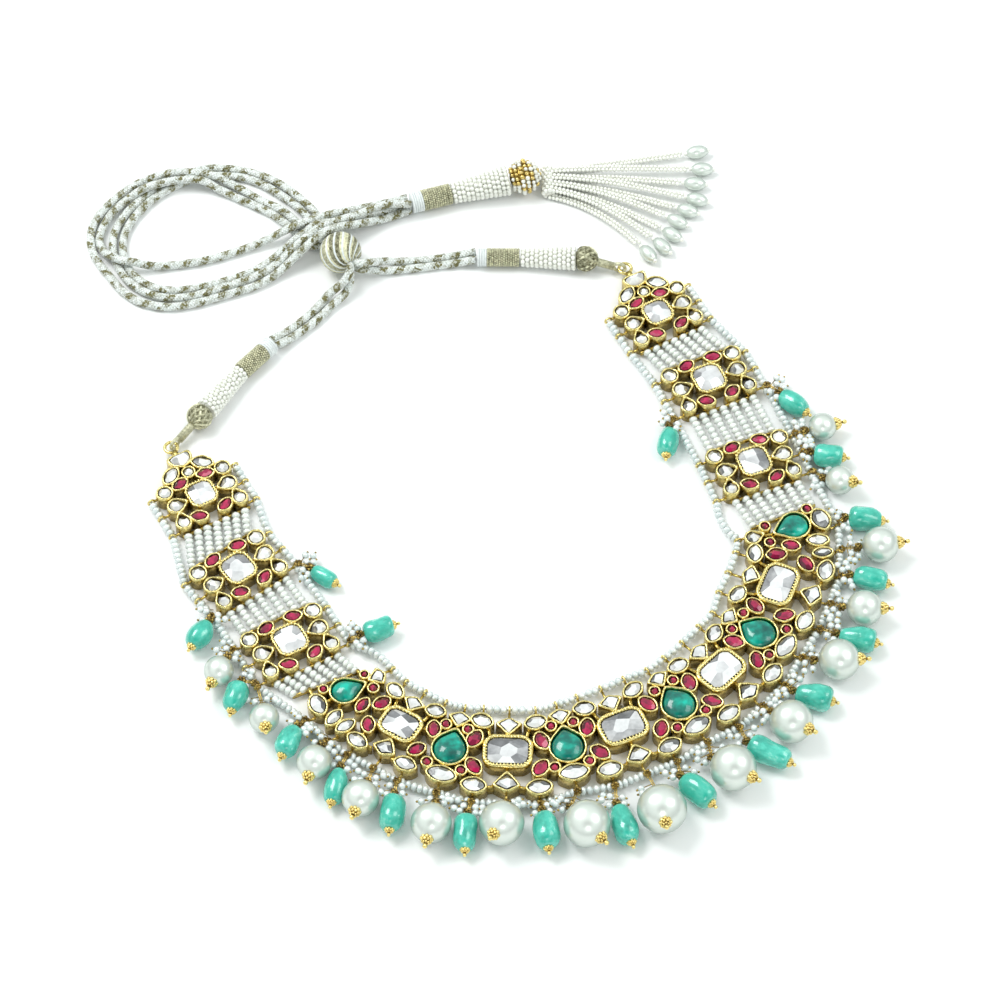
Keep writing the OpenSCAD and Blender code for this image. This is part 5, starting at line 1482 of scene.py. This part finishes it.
# The neck's thread work: caps, sleeves, wraps, slider and tassel.
SEED_ROW = 1.22         # between the rows of a woven sleeve
SEED_GAP = 1.28         # between the seeds of a row
THREAD_PITCH = 0.62     # between the rows of a wrap
KNOT_GAP = 0.66         # between the knots of a row
WOVEN = ball(0.70, 8, 6, squash=0.92, wear=1.0)
TINY = ball(0.60, 7, 6, squash=0.92, wear=1.0)
KNOT = ball(0.33, 6, 4)
GOLD_BEAD = ball(0.64, 7, 5, slot=1, wear=0.8)


def between(p, q, gap):
    """A point a little way from one joint towards the next."""
    p, q = Vector(p), Vector(q)
    return p + gap * (q - p).normalized()


def woven_sleeve(name, node, start, end, wide_start, wide_end):
    """Seed pearls woven in rows round a core."""
    start, end = Vector(start), Vector(end)
    length = (end - start).length
    base = frame_at(start, end - start)
    kit, rows = Joined(), max(3, round(length / SEED_ROW))
    core = lathe([(0, 0), (0, wide_start / 2 - 0.8), (length, wide_end / 2 - 0.8), (length, 0)],
                 16, wear=0.6)
    kit.add(core, base)
    for i in range(rows):
        share = (i + 0.5) / rows
        radius = ((1 - share) * wide_start + share * wide_end) / 2 - 0.62
        count = round(math.tau * radius / SEED_GAP)
        for k in range(count):
            a = math.tau * (k + 0.5 * (i % 2)) / count
            at = Matrix.Translation((share * length, radius * math.cos(a), radius * math.sin(a)))
            kit.add(WOVEN, base @ at @ Matrix.Rotation(a, 4, "X") @ Matrix.Rotation(
                math.radians(random.uniform(50, 90)), 4, "Z"), tone=random.uniform(0.3, 1.0))
    kit.piece(name, [WHITE_SEED, GOLD_SEED], [node], "seed_bead")


def wound(name, node, start, end, width, bands):
    """Thread wound round the cords: white in rows, gilt in knots. Each band has an end, as
    a share of the length, and a slot."""
    start, end = Vector(start), Vector(end)
    length = (end - start).length
    rows = round(length / THREAD_PITCH)
    kit, first = Joined(), 0.0
    base = frame_at(start, end - start)
    for last, slot in bands:
        core = lathe([(first * length, 0), (first * length, width / 2 - 0.4),
                      (last * length, width / 2 - 0.4), (last * length, 0)], 18, slot)
        # The core under the gilt knots takes the darkest gilt: painted shade in the gaps between
        # them.
        kit.add(core, base, tone=0.0 if slot == 0 else 0.5)
        thread = ring(width / 2 - 0.32, 0.30, 22, 6, slot)
        for i in range(round(first * rows), round(last * rows)):
            row = (base @ Matrix.Translation(((i + 0.5) / rows * length, 0, 0))
                   @ Matrix.Rotation(random.uniform(-0.03, 0.03), 4, "Z"))
            if slot:
                kit.add(thread, row, tone=random.uniform(0.3, 1))
                continue
            knots = round(math.tau * (width / 2 - 0.32) / KNOT_GAP)
            for k in range(knots):
                a = math.tau * (k + 0.5 * (i % 2)) / knots
                kit.add(KNOT, row @ Matrix.Rotation(a, 4, "X")
                        @ Matrix.Translation((0, 0, width / 2 - 0.34)),
                        tone=random.uniform(0.45, 1))
        first = last
    kit.piece(name, [GILT_THREAD, WHITE_THREAD], [node], "gold_thread")


def knot_ball(kit, centre, axis, radius, turns, twist, cut=0.0, wire=0.42, pale=0):
    """A ball of thread: a core under arcs that run from pole to pole with a twist."""
    base = frame_at(centre, axis)
    # The core under the arcs takes the darkest tone: painted shade in the gaps between them.
    kit.add(ball(radius - wire * 1.1, 20, 12, slot=0, wear=0.4), base, tone=0.0)
    low = math.radians(12)
    for k in range(turns):
        path = []
        for i in range(13):
            a = low + (math.pi - 2 * low) * i / 12
            b = math.tau * k / turns + twist * (i / 12 - 0.5)
            r = radius - wire
            path.append(Vector((-r * math.cos(a), r * math.sin(a) * math.cos(b),
                                r * math.sin(a) * math.sin(b))))
        if cut:
            path = [p for p in path if p.x < cut]
        rings = []
        for i, p in enumerate(path):
            along = (path[min(i + 1, len(path) - 1)] - path[max(i - 1, 0)]).normalized()
            out = p.normalized()
            side = along.cross(out)
            rings.append([p + wire * (math.cos(t) * side + math.sin(t) * out)
                          for t in (math.tau * j / 6 for j in range(6))])
        slot = 1 if pale and k % pale == 1 else 0
        kit.add(lofted(rings, slot=slot), base, tone=random.choice((0.0, 0.45, 1.0)))


def slider():
    """The thread-covered ball that slides on the cords."""
    kit = Joined()
    axis = Vector(SLIDER_OUT) - Vector(SLIDER_IN)
    knot_ball(kit, SLIDER_AT, axis, SLIDER_D / 2, 44, 2.3, wire=0.40, pale=4)
    kit.piece("slider_knot_thread", [GILT_THREAD, WHITE_THREAD], ["slider_knot"], "gold_thread")


def end_caps():
    """Netted thread caps, each with the thread loop through its bail."""
    for name, at, sleeve, lay in (("left_end_cap", LEFT_CAP_AT, LEFT_SLEEVE_AT, PLAQUE_LAY[0]),
                                  ("right_end_cap", RIGHT_CAP_AT, RIGHT_SLEEVE_AT,
                                   PLAQUE_LAY[3])):
        kit = Joined()
        axis = Vector(sleeve) - Vector(at)
        knot_ball(kit, at, axis, 3.6, 11, 1.9, cut=2.3, wire=0.36)
        knot_ball(kit, at, axis, 3.45, 11, -1.9, cut=2.2, wire=0.36)
        hook = Vector((*place(lay, (0, BAIL_Y)), BAIL_Z))
        toward = Vector((at[0] - hook.x, at[1] - hook.y, 0)).normalized()
        middle = hook + 1.6 * toward
        loop = ring(1.6, 0.5, 18, 7)
        kit.add(loop, frame_at(middle, Vector((-toward.y, toward.x, 0))), tone=0.7)
        rod_between(kit, hook + 3.1 * toward, at, 1.15, around=12)
        kit.piece(name + "_thread", [GILT_THREAD], [name], "gold_thread")


def tassel_head():
    """The tassel's ball: white and gold seeds in rows, over a core."""
    kit = Joined()
    centre, sleeve = Vector(TASSEL_BALL_AT), Vector(TASSEL_SLEEVE_AT)
    base = frame_at(centre, centre - sleeve)
    # A low wear-and-shade value paints the core dark brown: painted shade in the gaps between the
    # seeds.
    kit.add(ball(4.0, 18, 12, slot=1, wear=0.3), base)
    radius, rows = BALL_D / 2 - 0.62, 9
    for i in range(rows):
        a = math.radians(24 + 150 * i / (rows - 1))
        x, r = -radius * math.cos(a), radius * math.sin(a)
        if x < -3.7:
            continue
        count = max(1, round(math.tau * r / SEED_GAP))
        for k in range(count):
            b = math.tau * (k + 0.5 * (i % 2)) / count
            shape = GOLD_BEAD if random.random() < 0.42 else WOVEN
            out = random.uniform(-0.25, 0.12)
            at = Matrix.Translation((x * (1 + out / radius), (r + out) * math.cos(b),
                                     (r + out) * math.sin(b)))
            kit.add(shape, base @ at @ Matrix.Rotation(b, 4, "X")
                    @ Matrix.Scale(random.uniform(0.8, 1.05), 4), tone=random.uniform(0.3, 1))
    kit.piece("tassel_ball_beads", [WHITE_SEED, GOLD_SEED], ["tassel_ball"], "seed_bead")


def bend(a, b, c, t):
    """A point on a curve from a to c that leaves towards b."""
    return (1 - t) ** 2 * a + 2 * t * (1 - t) * b + t * t * c


def tassel_strings():
    """The tassel's strings: two rows of seeds, then an oval pearl."""
    kit = Joined()
    turn = math.radians(-20)
    out = Vector((math.cos(turn), math.sin(turn), 0))
    side = Vector((-out.y, out.x, 0))
    count = len(TASSEL_TIPS)
    knot = Vector((TASSEL_BALL_AT[0], TASSEL_BALL_AT[1], 2.1)) + (BALL_D / 2 + 1.6) * out
    roll = frame_at(knot, side)
    kit.add(lathe([(-4.6, 0), (-4.6, 1.2), (4.6, 1.2), (4.6, 0)], 12, wear=0.5), roll)
    for i in range(8):
        for k in range(7):
            a = math.tau * (k + 0.5 * (i % 2)) / 7
            kit.add(WOVEN, roll @ Matrix.Translation(
                (-4.1 + 1.17 * i, 1.35 * math.cos(a), 1.35 * math.sin(a))),
                tone=random.uniform(0.3, 1))
    tip_pearl = lathe([(-3.2, 0), (-3.1, 0.45), (-2.6, 1.05), (-1.7, 1.6), (-0.6, 1.86),
                       (0.6, 1.86), (1.7, 1.6), (2.6, 1.05), (3.1, 0.45), (3.2, 0)], 18, slot=2,
                      wear=1.0)
    for k, tip in enumerate(TASSEL_TIPS):
        base = Vector((TASSEL_BALL_AT[0], TASSEL_BALL_AT[1], (1.1, 3.0)[k % 2]))
        a = base + (BALL_D / 2 + 1.6) * out + ((count - 1) / 2 - k) * 1.05 * side
        away = turn + math.radians(4 - 2.5 * k)
        tip = Vector((*tip, TIP_D / 2 + 0.05))
        b = a + 14 * Vector((math.cos(away), math.sin(away), 0))
        into = (tip - b).normalized()
        c = tip - TIP_LEN / 2 * into
        path = [bend(a, b, c, t / 60) for t in range(61)]
        run = np.concatenate([[0], np.cumsum([(q - p).length for p, q in zip(path, path[1:])])])
        pitch, total = 1.08, float(run[-1])
        for n in range(int((total - 0.6) / pitch)):
            at = (n + 0.6) * pitch
            i = min(int(np.searchsorted(run, at)), 60)
            along = (path[i] - path[i - 1]).normalized()
            across = Vector((-along.y, along.x, 0)).normalized()
            share = (run[i] - at) / (run[i] - run[i - 1])
            middle = path[i].lerp(path[i - 1], share)
            for sign in (-1, 1):
                spot = middle + sign * 0.52 * across + 0.25 * sign * along
                kit.add(TINY, frame_at(spot, along), tone=random.uniform(0.25, 1))
        kit.add(tip_pearl, frame_at(tip, into), tone=random.uniform(0.5, 1))
        kit.add(WOVEN, frame_at(c + 0.1 * into, into), tone=0.8)
        kit.add(WOVEN, frame_at(tip + 3.1 * into, into), tone=0.8)
    kit.piece("tassel_strings_seeds", [WHITE_SEED, GOLD_SEED, PEARL], ["tassel_strings"],
              "seed_bead")


for left_or_right, cap, sleeve, wrap in (
        ("left", LEFT_CAP_AT, LEFT_SLEEVE_AT, LEFT_WRAP_AT),
        ("right", RIGHT_CAP_AT, RIGHT_SLEEVE_AT, RIGHT_WRAP_AT)):
    woven_sleeve(left_or_right + "_sleeve_seeds", left_or_right + "_sleeve",
                 between(cap, sleeve, 2.6), between(sleeve, cap, 0.2), 6.8, 5.2)
    wound(left_or_right + "_wrap_thread", left_or_right + "_wrap", between(sleeve, wrap, 0.2),
          between(wrap, sleeve, 0.2), 5.2, ((0.75, 0), (1.0, 1)))
wound("tassel_wrap_thread", "tassel_wrap", between(TASSEL_WRAP_AT, TASSEL_SLEEVE_AT, 0.2),
      between(TASSEL_SLEEVE_AT, TASSEL_WRAP_AT, 0.2), 6.0, ((0.26, 1), (1.0, 0)))
woven_sleeve("tassel_sleeve_seeds", "tassel_sleeve",
             between(TASSEL_SLEEVE_AT, TASSEL_BALL_AT, 0.2),
             between(TASSEL_BALL_AT, TASSEL_SLEEVE_AT, 4.4), 6.0, 8.6)
slider()
end_caps()
tassel_head()
tassel_strings()
